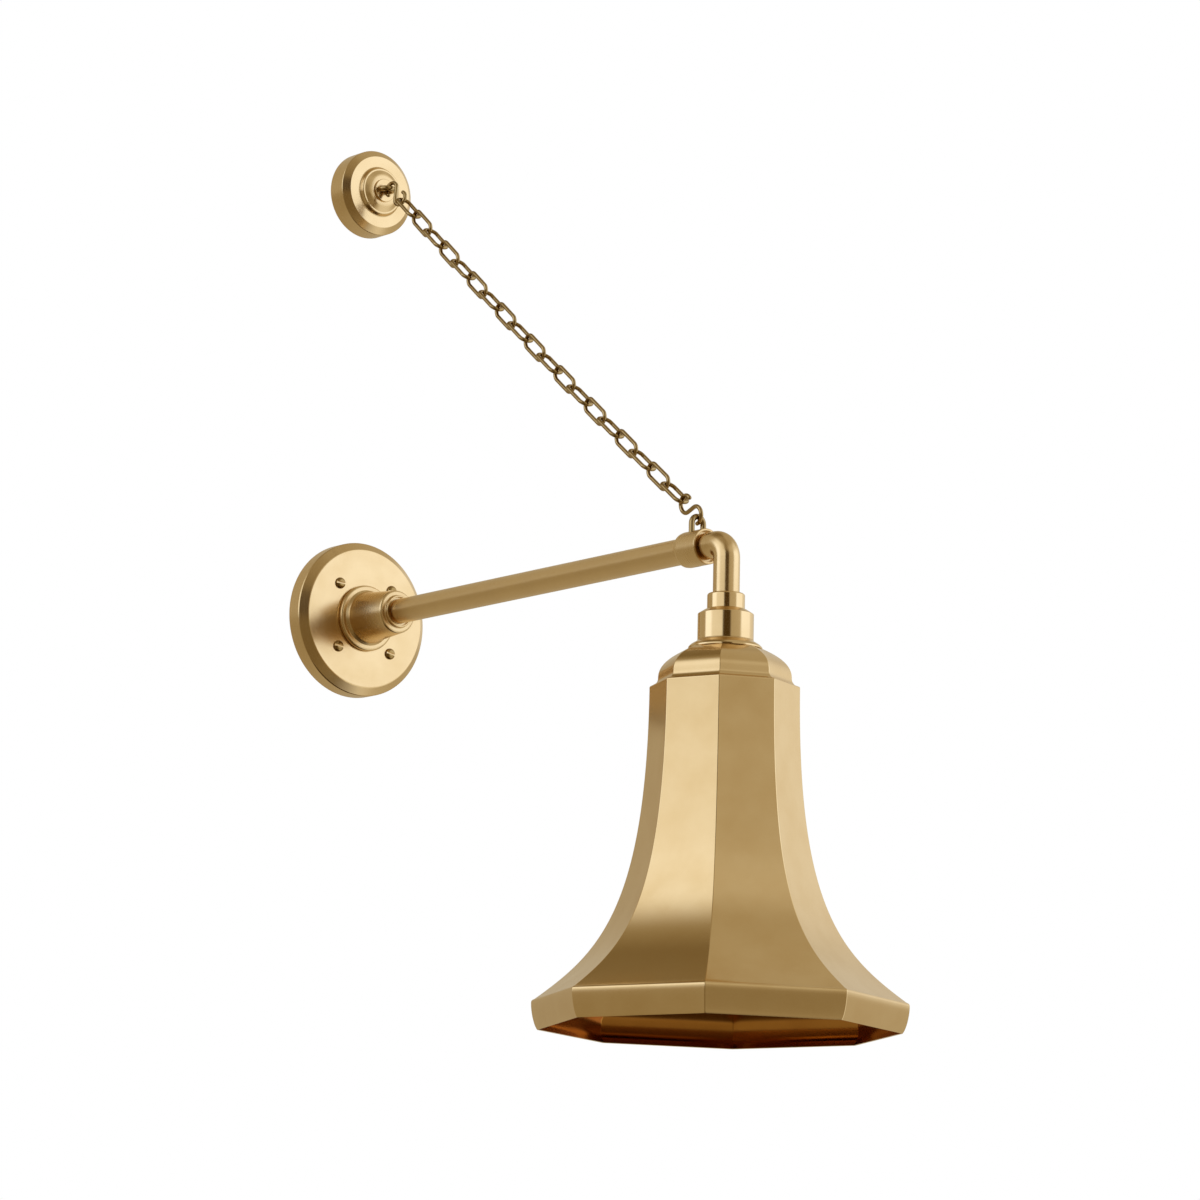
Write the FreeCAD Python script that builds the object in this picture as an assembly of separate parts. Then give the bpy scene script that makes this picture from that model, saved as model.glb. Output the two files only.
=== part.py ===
import FreeCAD, Part
import math
import os
from FreeCAD import Vector

# Wall light with a straight arm, a drop elbow, an eight-sided bell shade and a stay
# chain to a small canopy above. Millimetres. +Z is up, the wall is the plane Y = 0 and
# the room is on its -Y side. The origin is on the wall, on the axis of the arm.
# Wall parts are drawn in (radius, distance from the wall), the drop in (radius, Z).

# ---- clearances
slip = 0.15            # radial, between fixed pieces that slide together
run = 0.05             # radial, between the elbow and the socket that it turns in
gap = 0.3              # between pieces that move against each other

# ---- wall plate, its fixing plate and screws
plate_d = 120.0
plate_face_d = 107.8
plate_side = 12.3      # height of the cylindrical side, before the bevel
plate_depth = 17.2
plate_wall = 2.5
plate_edge_r = 1.6
fixing_plate_margin = 4.0
fixing_plate_t = 2.5
cable_entry_d = 22.0
box_slot_spacing = 80.0
box_slot_length = 14.0
box_slot_width = 4.8
plate_screw_pcd = 70.0
plate_screw_d = 3.9
plate_screw_head_d = 8.8
plate_screw_head_t = 2.6
screw_slot_width = 1.4
screw_slot_depth = 1.1
spacer_d = 8.0
spacer_foot = 1.2      # thread left below the tip of a plate screw
earth_screw_d = 3.9
earth_screw_head_d = 7.6
earth_screw_head_t = 2.4
earth_screw_z = -36.0
earth_screw_x = -30.0
terminal_size = (12.0, 26.0)
terminal_depth = 9.6
terminal_x = 37.0
terminal_ways = 3
terminal_screw_d = 3.2

# ---- arm and its boss
arm_d = 19.0
arm_wall = 1.5
arm_reach = 446.7      # wall to the axis of the drop
boss_flange_d = 51.2
boss_flange_t = 4.2
boss_base_d = 39.4
boss_cove = 1.9
boss_end_d = 33.0
boss_length = 42.3     # plate face to the end of the taper
boss_end_r = 1.8
boss_nose_d = 24.8
boss_nose_t = 2.6
boss_recess = 1.7      # radial width of the recess round the arm
boss_recess_depth = 1.8
boss_bore_d = 16.0
boss_tail_d = 19.0
boss_grip = 15.0       # length of arm held in the boss
boss_nut_af = 29.0
boss_nut_t = 3.6
nut_overhang = 0.6     # thread that shows past a nut

# ---- socket at the end of the arm
socket_d = 26.0
socket_back = 45.5     # from the axis of the drop back to the socket's shoulder
socket_front = 21.2    # from the axis of the drop back to the socket's mouth
socket_round = 2.8     # of the shoulder, which then swells to full size
socket_swell = 4.0
socket_neck = 0.6      # radial, still to go at the end of the round
socket_lip_r = 0.7
socket_grip = 5.5
socket_web = 1.6
socket_web_hole_d = 12.0
mouth_recess_d = 22.6
mouth_recess_depth = 3.2
stop_screw_d = 4.0
stop_screw_from_web = 3.8
stop_screw_angle = -75.0
stop_pin_d = 2.4
swivel_range = 20.0    # each way, ended by the stop screw in its slot
stop_slot_depth = 1.0

# ---- elbow and lampholder
elbow_d = 19.0
elbow_wall = 1.8
elbow_bend_r = 12.0
cap_top = 37.3         # below the arm's axis
cap_d = 26.8
cap_height = 11.9
cap_edge_r = 1.6
cap_foot_r = 0.8
holder_d = 39.8
holder_height = 21.9
holder_shoulder_d = 30.4
holder_chamfer = 3.0
holder_wall = 1.2
holder_nut_af = 23.5
holder_nut_t = 3.6
gallery_d = 52.6
gallery_height = 6.4
gallery_lip = 1.3
gallery_spigot = 6.5
gallery_sleeve = 14.0
gallery_bore_d = 34.6
gallery_ledge = 1.6
insert_d = 34.2
insert_wall = 3.0
lamp_shell_bore_d = 26.4
lamp_shell_wall = 0.5
lamp_shell_depth = 24.0
lamp_shell_taper = 3.0 # radial and in depth, of the cone past the bore
lamp_shell_hole_d = 17.0
contact_d = 9.0
contact_height = 2.6
insert_top = 57.0
insert_screw_d = 3.5

# ---- shade: an eight-sided bell of sheet brass, sizes across the corners
shade_sides = 8
shade_wall = 1.4
shade_crown_d = 55.6
crown_drop = 20.1      # the domed crown
crown_d = 94.8
cove_drop = 6.3        # the hollow under the crown
waist_d = 106.6
shoulder_r = 0.8
flare_drop = 220.4     # waist down to the top of the rim
flare_d = 260.0
flare_waist_pull = 158.0
flare_rim_pull = 54.5
flare_rim_angle = 53.7
rim_bulge = 2.4        # radial, rim beyond the end of the flare
rim_turn_in = 4.8      # radial, from the rim's widest line in to its foot
rim_round = 2.8
rim_height = 21.7
ring_d = 47.0
ring_t = 6.0
ring_notches = 12
ring_notch_r = 1.3

# ---- canopy above the arm
canopy_height = 341.1
canopy_d = 67.4
canopy_side = 16.0
canopy_depth = 20.2
canopy_face_d = 57.0
canopy_wall = 2.2
canopy_back_r = 1.4
bead_d = 39.0
bead_rise = 3.1
dome_d = 33.4
dome_rise = 2.4
eye_disc_d = 18.4
eye_disc_t = 1.6
base_t = 3.0
base_rim_depth = 13.0
base_rim_wall = 3.2
base_post_d = 24.0
base_hole_d = 4.6
base_hole_spacing = 40.0
grub_d = 4.9
grub_length = 3.2
grub_sunk = 1.3
grub_key_af = 2.4
grub_key_depth = 1.4
grub_angle = 205.0
grub_distance = 9.6

# ---- stay chain, its hooks and the two staples that hold it
staple_wire = 4.3
staple_half = 5.35
staple_root = 5.5      # leg length inside what carries an upper staple
upper_staple_reach = 7.3
lower_staple_reach = 10.1
lower_staple_sunk = 2.0
staple_from_mouth = 11.5  # lower staple back from the mouth of the arm's socket
hook_wire = 3.1
hook_spread = 15.0     # between the centres of a hook's two loops
upper_hook_r = 5.3
upper_hook_sweeps = (238.0, 240.0)
upper_hook_turn = -13.0   # twist of the hook's plane about the chain
lower_hook_r = 6.3
lower_hook_sweeps = (248.0, 190.0)
lower_hook_turn = 8.0
link_wire = 3.0
link_d = 13.4
link_pitch_wanted = 23.7
link_turn = 5.0        # twist of the links about the chain
chain_sag = 3.0

# ---- lead
lead_d = 4.6
lead_bend_r = 14.0
lead_from_plate = 3.5

# ---- places worked out from the sizes above
plate_back_face = plate_depth - plate_wall
screw_xy = plate_screw_pcd / 2 * math.sqrt(0.5)
lead_y = fixing_plate_t + lead_from_plate
tail_end = plate_back_face - boss_nut_t - nut_overhang
boss_end = plate_depth + boss_length
arm_start = boss_end + boss_nose_t - boss_grip
socket_start = arm_reach - socket_back
socket_mouth = arm_reach - socket_front
web_start = socket_start + socket_grip
web_end = web_start + socket_web
stop_y = web_end + stop_screw_from_web
staple_y = socket_mouth - staple_from_mouth
holder_top = cap_top + cap_height
gallery_top = holder_top + holder_height
shade_top = gallery_top + gallery_height
insert_foot = shade_top + gallery_sleeve - gallery_ledge
bore_end = insert_foot - lamp_shell_depth
contact_seat = bore_end - lamp_shell_taper - lamp_shell_wall - slip
crown_foot = shade_top + crown_drop
cove_foot = crown_foot + cove_drop
waist_top = cove_foot + 2 * shoulder_r
flare_foot = waist_top + flare_drop
shade_foot = flare_foot + rim_height
rim_r = flare_d / 2 + rim_bulge
corner = 1 / math.cos(math.pi / shade_sides)
dome_top = canopy_depth + bead_rise + dome_rise
disc_face = dome_top + eye_disc_t
upper_bar = Vector(0, -(disc_face + upper_staple_reach), canopy_height)
lower_bar = Vector(0, -staple_y, socket_d / 2 + lower_staple_reach)

made = {}


# ---- helpers
def rounded_outline(corners, place):
    """A closed wire through corners (a, b) or (a, b, radius), in the plane given by place."""
    points = [Vector(c[0], c[1], 0) for c in corners]
    radii = [c[2] if len(c) > 2 else 0.0 for c in corners]
    count = len(points)
    ends = []
    for i in range(count):
        here = points[i]
        following = (i + 1) % count
        to_last = points[i - 1] - here
        to_next = points[following] - here
        half = to_last.getAngle(to_next) / 2
        room = min(to_last.Length * (0.49 if radii[i - 1] else 0.98),
                   to_next.Length * (0.49 if radii[following] else 0.98))
        cut = min(radii[i] / math.tan(half), room) if radii[i] else 0.0
        if cut < 1e-6:
            ends.append((here, None, here))
            continue
        radius = cut * math.tan(half)
        bisector = to_last.normalize() + to_next.normalize()
        bisector.normalize()
        middle = here + bisector * (radius / math.sin(half) - radius)
        ends.append((here + to_last * cut, middle, here + to_next * cut))
    edges = []
    for i in range(count):
        first, middle, last = ends[i]
        if middle is not None:
            edges.append(Part.Arc(place(first), place(middle), place(last)).toShape())
        start = ends[(i + 1) % count][0]
        if (start - last).Length > 1e-6:
            edges.append(Part.makeLine(place(last), place(start)))
    return Part.Wire(edges)


def turned_on_wall(corners, height=0.0):
    """A solid of revolution on an axis square to the wall, from (radius, distance) corners."""
    wire = rounded_outline(corners, lambda v: Vector(v.x, -v.y, height))
    return Part.Face(wire).revolve(Vector(0, 0, height), Vector(0, 1, 0), 360)


def turned_on_drop(corners):
    """A solid of revolution on the drop's axis, from (radius, depth below the arm) corners."""
    wire = rounded_outline(corners, lambda v: Vector(v.x, -arm_reach, -v.y))
    return Part.Face(wire).revolve(Vector(0, -arm_reach, 0), Vector(0, 0, 1), 360)


def wall_rod(radius, start, end, x=0.0, z=0.0):
    """A cylinder square to the wall, between two distances from it."""
    return Part.makeCylinder(radius, end - start, Vector(x, -start, z), Vector(0, -1, 0))


def drop_rod(radius, start, end, x=0.0, y=0.0):
    """An upright cylinder, between two depths below the arm's axis."""
    return Part.makeCylinder(radius, end - start, Vector(x, y - arm_reach, -start), Vector(0, 0, -1))


def hexagon(across_flats, length, start, direction):
    """A hexagonal prism."""
    radius = across_flats / math.sqrt(3)
    ring = Part.Wire(Part.makePolygon([
        Vector(radius * math.cos(math.radians(60 * i)), radius * math.sin(math.radians(60 * i)), 0)
        for i in range(7)]))
    prism = Part.Face(ring).extrude(Vector(0, 0, length))
    prism.Placement = FreeCAD.Placement(start, FreeCAD.Rotation(Vector(0, 0, 1), direction))
    return prism


def wire_form(edges, radius):
    """A round wire bent along edges that meet in tangents."""
    path = Part.Wire(edges)
    start = edges[0].valueAt(edges[0].FirstParameter)
    tangent = edges[0].tangentAt(edges[0].FirstParameter)
    ring = Part.Wire([Part.makeCircle(radius, start, tangent)])
    return path.makePipeShell([ring], True, False)


def slotted_head(diameter, height, distance, x, z, slot_angle):
    """A domed screw head on the wall side, with a driver slot."""
    head = turned_on_wall([
        (0, distance), (diameter / 2, distance), (diameter / 2, distance + height, height * 0.95),
        (0, distance + height)])
    slot = Part.makeBox(diameter * 2, screw_slot_depth * 2, screw_slot_width,
                        Vector(-diameter, -(distance + height) - screw_slot_depth, -screw_slot_width / 2))
    slot.rotate(Vector(0, 0, 0), Vector(0, 1, 0), slot_angle)
    head = head.cut(slot)
    head.translate(Vector(x, 0, z))
    return head


def keep(name, *solids):
    """Stores the solids of one node."""
    found = [s for shape in solids for s in shape.Solids]
    made[name] = found[0] if len(found) == 1 else Part.Compound(found)


# ---- wall plate and what it covers
def screw_places():
    return [(sx * screw_xy, sz * screw_xy) for sx in (-1, 1) for sz in (-1, 1)]


def wall_plate():
    outer = plate_d / 2
    face = plate_face_d / 2
    hole = boss_tail_d / 2 + slip
    inner_face = face - plate_wall * 0.4
    shell = turned_on_wall([
        (hole, plate_back_face), (inner_face, plate_back_face, plate_edge_r),
        (outer - plate_wall, plate_side - plate_wall * 0.6, plate_edge_r), (outer - plate_wall, 0), (outer, 0),
        (outer, plate_side, plate_edge_r), (face, plate_depth, plate_edge_r), (hole, plate_depth)])
    for x, z in screw_places():
        shell = shell.cut(wall_rod(plate_screw_d / 2 + slip, 0, plate_depth + 1, x, z))
    keep("wall_plate", shell)


def fixing_plate():
    radius = plate_d / 2 - plate_wall - fixing_plate_margin
    plate = wall_rod(radius, 0, fixing_plate_t).cut(wall_rod(cable_entry_d / 2, -1, fixing_plate_t + 1))
    for side in (-1, 1):
        middle = side * box_slot_spacing / 2
        run_half = (box_slot_length - box_slot_width) / 2
        slot = Part.makeBox(box_slot_width, fixing_plate_t + 2, 2 * run_half,
                            Vector(-box_slot_width / 2, -fixing_plate_t - 1, middle - run_half))
        for end in (-run_half, run_half):
            slot = slot.fuse(wall_rod(box_slot_width / 2, -1, fixing_plate_t + 1, 0, middle + end))
        plate = plate.cut(slot)
    for x, z in screw_places():
        plate = plate.cut(wall_rod(plate_screw_d / 2 + slip, -1, fixing_plate_t + 1, x, z))
    plate = plate.cut(wall_rod(earth_screw_d / 2 + slip, -1, fixing_plate_t + 1, earth_screw_x, earth_screw_z))
    keep("fixing_plate", plate)


def plate_spacers():
    spacers = []
    for x, z in screw_places():
        body = wall_rod(spacer_d / 2, fixing_plate_t, plate_back_face, x, z)
        spacers.append(body.cut(wall_rod(plate_screw_d / 2 + slip, 0, plate_depth, x, z)))
    keep("plate_spacers", *spacers)


def plate_screws():
    screws = []
    for turn, (x, z) in zip((8, 4, 12, -6), screw_places()):
        head = slotted_head(plate_screw_head_d, plate_screw_head_t, plate_depth, x, z, turn)
        screws.append(head.fuse(wall_rod(plate_screw_d / 2, spacer_foot, plate_depth, x, z)))
    keep("plate_screws", *screws)


def earth_screw():
    head = slotted_head(earth_screw_head_d, earth_screw_head_t, fixing_plate_t, earth_screw_x, earth_screw_z, 30)
    keep("earth_screw", head.fuse(wall_rod(earth_screw_d / 2, 0, fixing_plate_t, earth_screw_x, earth_screw_z)))


def terminal_block():
    width, height = terminal_size
    depth = min(terminal_depth, plate_back_face - fixing_plate_t - 1)
    block = Part.makeBox(width, depth, height,
                         Vector(terminal_x - width / 2, -fixing_plate_t - depth, -height / 2))
    step = height / terminal_ways
    for i in range(terminal_ways):
        z = (i - (terminal_ways - 1) / 2) * step
        well = wall_rod(terminal_screw_d / 2, fixing_plate_t + depth * 0.6, fixing_plate_t + depth + 1,
                        terminal_x + width / 4, z)
        block = block.cut(well)
    keep("terminal_block", block)


# ---- arm
def arm_boss():
    tail = boss_tail_d / 2
    bore = boss_bore_d / 2
    flange = boss_flange_d / 2
    base = boss_base_d / 2
    end = boss_end_d / 2
    nose = boss_nose_d / 2
    grip = arm_d / 2 + slip
    recess = arm_d / 2 + boss_recess
    nose_end = boss_end + boss_nose_t
    top = plate_depth + boss_flange_t
    keep("arm_boss", turned_on_wall([
        (bore, tail_end), (tail, tail_end, 0.5), (tail, plate_depth), (flange, plate_depth, boss_flange_t * 0.45),
        (flange, top, boss_flange_t * 0.45), (base + boss_cove, top, 0.4), (base, top + boss_cove, boss_cove),
        (end, boss_end, boss_end_r), (nose, boss_end, 0.8), (nose, nose_end, 0.7), (recess, nose_end),
        (recess, nose_end - boss_recess_depth), (grip, nose_end - boss_recess_depth),
        (grip, arm_start - gap), (bore, arm_start - gap)]))


def boss_nut():
    nut = hexagon(boss_nut_af, boss_nut_t, Vector(0, -plate_back_face, 0), Vector(0, 1, 0))
    keep("boss_nut", nut.cut(wall_rod(boss_tail_d / 2 + slip, 0, plate_depth)))


def arm_tube():
    tube = wall_rod(arm_d / 2, arm_start, web_start - gap)
    keep("arm_tube", tube.cut(wall_rod(arm_d / 2 - arm_wall, 0, arm_reach)))


def arm_socket():
    outer = socket_d / 2
    rear = arm_d / 2 + slip
    front = elbow_d / 2 + run
    body = turned_on_wall([
        (rear, socket_start), (outer - socket_neck, socket_start, socket_round),
        (outer, socket_start + socket_swell, socket_round * 1.5), (outer, socket_mouth, socket_lip_r),
        (mouth_recess_d / 2, socket_mouth, 0.3),
        (mouth_recess_d / 2, socket_mouth - mouth_recess_depth), (front, socket_mouth - mouth_recess_depth),
        (front, web_end), (socket_web_hole_d / 2, web_end), (socket_web_hole_d / 2, web_start), (rear, web_start)])
    aim = stop_direction()
    body = body.cut(Part.makeCylinder(stop_screw_d / 2 + slip, outer, Vector(0, -stop_y, 0) + aim * 4, aim))
    foot = outer - lower_staple_sunk - (outer - math.sqrt(outer ** 2 - staple_half ** 2))
    for side in (-1, 1):
        hole = Part.makeCylinder(staple_wire / 2 + slip, outer, Vector(side * staple_half, -staple_y, foot - gap))
        body = body.cut(hole)
    keep("arm_socket", body)


def stop_direction():
    """Outwards along the stop screw, seen from the room."""
    angle = math.radians(stop_screw_angle)
    return Vector(math.cos(angle), 0, math.sin(angle))


def stop_screw():
    aim = stop_direction()
    axis = Vector(0, -stop_y, 0)
    seat = elbow_d / 2 + gap
    outer = socket_d / 2
    body = Part.makeCylinder(stop_screw_d / 2, outer - seat, axis + aim * seat, aim)
    tip = elbow_d / 2 - stop_slot_depth + gap
    pin = Part.makeCylinder(stop_pin_d / 2, outer - tip - 0.5, axis + aim * tip, aim)
    slot = Part.makeBox(screw_slot_width, stop_screw_d * 2, 2, Vector(-screw_slot_width / 2, -stop_screw_d, -1))
    slot.Placement = FreeCAD.Placement(axis + aim * outer, FreeCAD.Rotation(Vector(0, 0, 1), aim))
    keep("stop_screw", body.fuse(pin).cut(slot))


# ---- elbow and lampholder, which turn together about the arm
def elbow():
    outer = elbow_d / 2
    inner = outer - elbow_wall
    bend_y = -(arm_reach - elbow_bend_r)
    foot = holder_top + holder_wall + holder_nut_t + nut_overhang
    arms = []
    for radius in (outer, inner):
        disc = Part.Face(Part.Wire([Part.makeCircle(radius, Vector(0, bend_y, 0), Vector(0, 1, 0))]))
        bend = disc.revolve(Vector(0, bend_y, -elbow_bend_r), Vector(1, 0, 0), 90)
        level = wall_rod(radius, web_end + gap, -bend_y)
        drop = drop_rod(radius, elbow_bend_r, foot)
        arms.append(level.fuse(bend).fuse(drop))
    body = arms[0].cut(arms[1])
    keep("elbow", body.cut(stop_slot()))


def stop_slot():
    """The slot in the elbow that the stop screw's pin runs in."""
    outer = elbow_d / 2
    floor = outer - stop_slot_depth
    half_pin = math.degrees(math.asin((stop_pin_d / 2 + gap) / floor))
    half = swivel_range + half_pin
    width = stop_pin_d + 2 * gap
    start = Vector(0, -(stop_y - width / 2), 0)
    sector = Part.makeCylinder(outer + 1, width, start, Vector(0, -1, 0), 2 * half)
    core = Part.makeCylinder(floor, width, start, Vector(0, -1, 0))
    sector = sector.cut(core).Solids[0]
    middle = sector.CenterOfMass
    now = math.degrees(math.atan2(middle.z, middle.x))
    sector.rotate(Vector(0, 0, 0), Vector(0, -1, 0), stop_screw_angle - now)
    return sector


def holder_cap():
    outer = cap_d / 2
    bore = elbow_d / 2 + slip
    keep("holder_cap", turned_on_drop([
        (bore, cap_top), (outer, cap_top, cap_edge_r), (outer, holder_top, cap_foot_r), (bore, holder_top)]))


def holder_shell():
    outer = holder_d / 2
    inner = outer - holder_wall
    shoulder = holder_shoulder_d / 2
    bore = elbow_d / 2 + slip
    chamfer_foot = holder_top + holder_chamfer
    keep("holder_shell", turned_on_drop([
        (bore, holder_top), (shoulder, holder_top, 0.5), (outer, chamfer_foot, 0.6), (outer, gallery_top),
        (inner, gallery_top), (inner, chamfer_foot + holder_wall * 0.4),
        (shoulder - holder_wall * 0.4, holder_top + holder_wall), (bore, holder_top + holder_wall)]))


def holder_nut():
    nut = hexagon(holder_nut_af, holder_nut_t, Vector(0, -arm_reach, -holder_top - holder_wall), Vector(0, 0, -1))
    keep("holder_nut", nut.cut(drop_rod(elbow_d / 2 + slip, holder_top, gallery_top)))


def shade_gallery():
    outer = holder_d / 2
    bore = gallery_bore_d / 2
    spigot = outer - holder_wall - slip
    sleeve = sleeve_radius()
    lip = gallery_d / 2
    foot = shade_top + gallery_sleeve
    top = gallery_top - gallery_spigot
    ledge = insert_d / 2 - insert_wall * 0.5
    keep("shade_gallery", turned_on_drop([
        (bore, top), (spigot, top, 0.3), (spigot, gallery_top), (outer, gallery_top),
        (outer + 0.2, gallery_top + 0.6, 1.5), (lip - 1.6, shade_top - gallery_lip * 2.3, 3.0),
        (lip, shade_top - gallery_lip, 0.5), (lip, shade_top, 0.4), (sleeve, shade_top), (sleeve, foot, 0.4),
        (ledge, foot), (ledge, insert_foot), (bore, insert_foot)]))


def sleeve_radius():
    return holder_d / 2 - 0.3


def socket_insert():
    outer = insert_d / 2
    clear = lamp_shell_wall + slip
    cavity = lamp_shell_bore_d / 2 + clear
    mitre = clear * math.tan(math.radians(22.5))
    cone_top = lamp_shell_bore_d / 2 - lamp_shell_taper + mitre
    body = turned_on_drop([
        (0, insert_top), (outer, insert_top, 1.5), (outer, insert_foot, 0.4), (cavity, insert_foot),
        (cavity, bore_end - mitre), (cone_top, contact_seat), (0, contact_seat)])
    for side in (-1, 1):
        well = drop_rod(insert_screw_d / 2 + slip, insert_top - 1, contact_seat - 1, 0, side * outer * 0.62)
        body = body.cut(well)
    keep("socket_insert", body)
    screws = []
    for side in (-1, 1):
        rod = drop_rod(insert_screw_d / 2, insert_top + 0.8, contact_seat - 1, 0, side * outer * 0.62)
        slot = Part.makeBox(2 * insert_screw_d, 0.8, 1.6,
                            Vector(-insert_screw_d, side * outer * 0.62 - arm_reach - 0.4, -insert_top - 1.6))
        screws.append(rod.cut(slot))
    keep("insert_screws", *screws)


def lamp_shell():
    inner = lamp_shell_bore_d / 2
    outer = inner + lamp_shell_wall
    mitre = lamp_shell_wall * math.tan(math.radians(22.5))
    cone = inner - lamp_shell_taper
    top = bore_end - lamp_shell_taper
    keep("lamp_shell", turned_on_drop([
        (lamp_shell_hole_d / 2, top - lamp_shell_wall), (cone + mitre, top - lamp_shell_wall),
        (outer, bore_end - mitre), (outer, insert_foot), (inner, insert_foot), (inner, bore_end), (cone, top),
        (lamp_shell_hole_d / 2, top)]))


def lamp_contact():
    keep("lamp_contact", turned_on_drop([
        (0, contact_seat), (contact_d / 2, contact_seat), (contact_d / 2, contact_seat + contact_height * 0.4),
        (contact_d * 0.28, contact_seat + contact_height, 0.5), (0, contact_seat + contact_height)]))


# ---- shade
def corner_edge(kind, points, angle):
    """One profile edge of the shade, set at a corner: points are (corner radius, depth)."""
    spots = [Vector(r * math.cos(angle), r * math.sin(angle) - arm_reach, -d) for r, d in points]
    if kind == "line":
        return Part.makeLine(spots[0], spots[1])
    if kind == "arc":
        return Part.Arc(*spots).toShape()
    curve = Part.BezierCurve()
    curve.setPoles(spots)
    return curve.toShape()


def eight_sided(profile):
    """A solid whose corners follow profile, a chain of edges from top to bottom."""
    angles = [2 * math.pi * i / shade_sides for i in range(shade_sides)]
    faces = []
    for kind, points in profile:
        edges = [corner_edge(kind, points, a) for a in angles]
        for i in range(shade_sides):
            faces.append(Part.makeRuledSurface(edges[i], edges[(i + 1) % shade_sides]))
    for radius, depth in (profile[0][1][0], profile[-1][1][-1]):
        ring = [Vector(radius * math.cos(a), radius * math.sin(a) - arm_reach, -depth) for a in angles]
        faces.append(Part.Face(Part.makePolygon(ring + ring[:1])))
    shell = Part.Shell(faces)
    shell.sewShape()
    solid = Part.Solid(shell)
    if solid.Volume < 0:
        solid.reverse()
    return solid


def arc_middle(start, end, bulge):
    """A point beside the middle of start to end: bulge is its offset over the half chord."""
    mid = ((start[0] + end[0]) / 2, (start[1] + end[1]) / 2)
    half = ((end[0] - start[0]) / 2, (end[1] - start[1]) / 2)
    return (mid[0] + half[1] * bulge, mid[1] - half[0] * bulge)


def shade_profile(inset):
    """The corner line of the bell, moved in by inset across the flats."""
    across = inset * corner
    slope = math.radians(flare_rim_angle)
    crown_top = (shade_crown_d / 2 - across * 0.3, shade_top + inset)
    crown_low = (crown_d / 2 - across, crown_foot - inset * 0.1)
    cove_out = (waist_d / 2 - shoulder_r * 0.6 - across * 0.6, cove_foot + inset * 0.8)
    waist = (waist_d / 2 - across, waist_top + inset * 0.3)
    rim_top = (flare_d / 2 - across * math.cos(slope), flare_foot + inset * math.sin(slope))
    rim_out = (rim_r - across, flare_foot + rim_round)
    rim_foot = (rim_r - rim_turn_in - across * 0.75, shade_foot - inset * 0.2)
    return [
        ("curve", [crown_top, (crown_top[0] + 10.9, crown_top[1] + 5.0),
                   (crown_low[0], crown_low[1] - 9.1), crown_low]),
        ("arc", [crown_low, arc_middle(crown_low, cove_out, -math.sqrt(2) + 1), cove_out]),
        ("arc", [cove_out, arc_middle(cove_out, waist, 0.3), waist]),
        ("curve", [waist, (waist[0], waist[1] + flare_waist_pull),
                   (rim_top[0] - flare_rim_pull * math.sin(slope), rim_top[1] - flare_rim_pull * math.cos(slope)),
                   rim_top]),
        ("curve", [rim_top, (rim_out[0] - 0.3, rim_top[1] + 1.2), (rim_out[0], rim_out[1] - 2.0), rim_out]),
        ("curve", [rim_out, (rim_out[0] + 0.1, rim_out[1] + 8.0),
                   (rim_foot[0] + rim_turn_in * 0.62, rim_foot[1] - 3.6), rim_foot]),
    ]


def shade():
    outer = eight_sided(shade_profile(0.0))
    inner_profile = shade_profile(shade_wall)
    last = inner_profile[-1][1][-1]
    inner_profile.append(("line", [last, (last[0], shade_foot + 1)]))
    bell = outer.cut(eight_sided(inner_profile))
    hole = drop_rod(sleeve_radius() + slip, shade_top - 1, shade_top + 10)
    keep("shade", bell.cut(hole))


def shade_ring():
    inner = sleeve_radius() + slip
    top = shade_top + shade_wall
    ring = turned_on_drop([
        (inner, top), (ring_d / 2, top, 0.4), (ring_d / 2, top + ring_t, 0.6), (inner, top + ring_t, 0.4)])
    for i in range(ring_notches):
        angle = 2 * math.pi * i / ring_notches
        ring = ring.cut(drop_rod(ring_notch_r, top + ring_t * 0.35, top + ring_t + 1,
                                 ring_d / 2 * math.cos(angle), ring_d / 2 * math.sin(angle)))
    keep("shade_ring", ring)


# ---- canopy
def canopy_base():
    rim = canopy_d / 2 - canopy_wall - slip
    post = base_post_d / 2
    post_top = canopy_depth + bead_rise - canopy_wall
    base = turned_on_wall([
        (0, 0), (rim, 0), (rim, base_rim_depth, 0.5), (rim - base_rim_wall, base_rim_depth),
        (rim - base_rim_wall, base_t), (post, base_t), (post, post_top, 0.5), (0, post_top)], canopy_height)
    for side in (-1, 1):
        base = base.cut(wall_rod(base_hole_d / 2, -1, base_t + 1, side * base_hole_spacing / 2, canopy_height))
        base = base.cut(wall_rod(staple_wire / 2 + slip, disc_face - staple_root - eye_disc_t, dome_top + 1,
                                 side * staple_half, canopy_height))
    base = base.cut(grub_space(grub_d / 2 + slip))
    keep("canopy_base", base)


def grub_axis():
    angle = math.radians(grub_angle)
    return Vector(math.cos(angle), 0, math.sin(angle))


def grub_space(radius):
    """The hole that the grub screw sits in, from its tip out past the canopy's side."""
    tip = canopy_d / 2 - grub_sunk - grub_length - gap
    return Part.makeCylinder(radius, grub_length + grub_sunk + gap + 1,
                             Vector(0, -grub_distance, canopy_height) + grub_axis() * tip, grub_axis())


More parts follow.
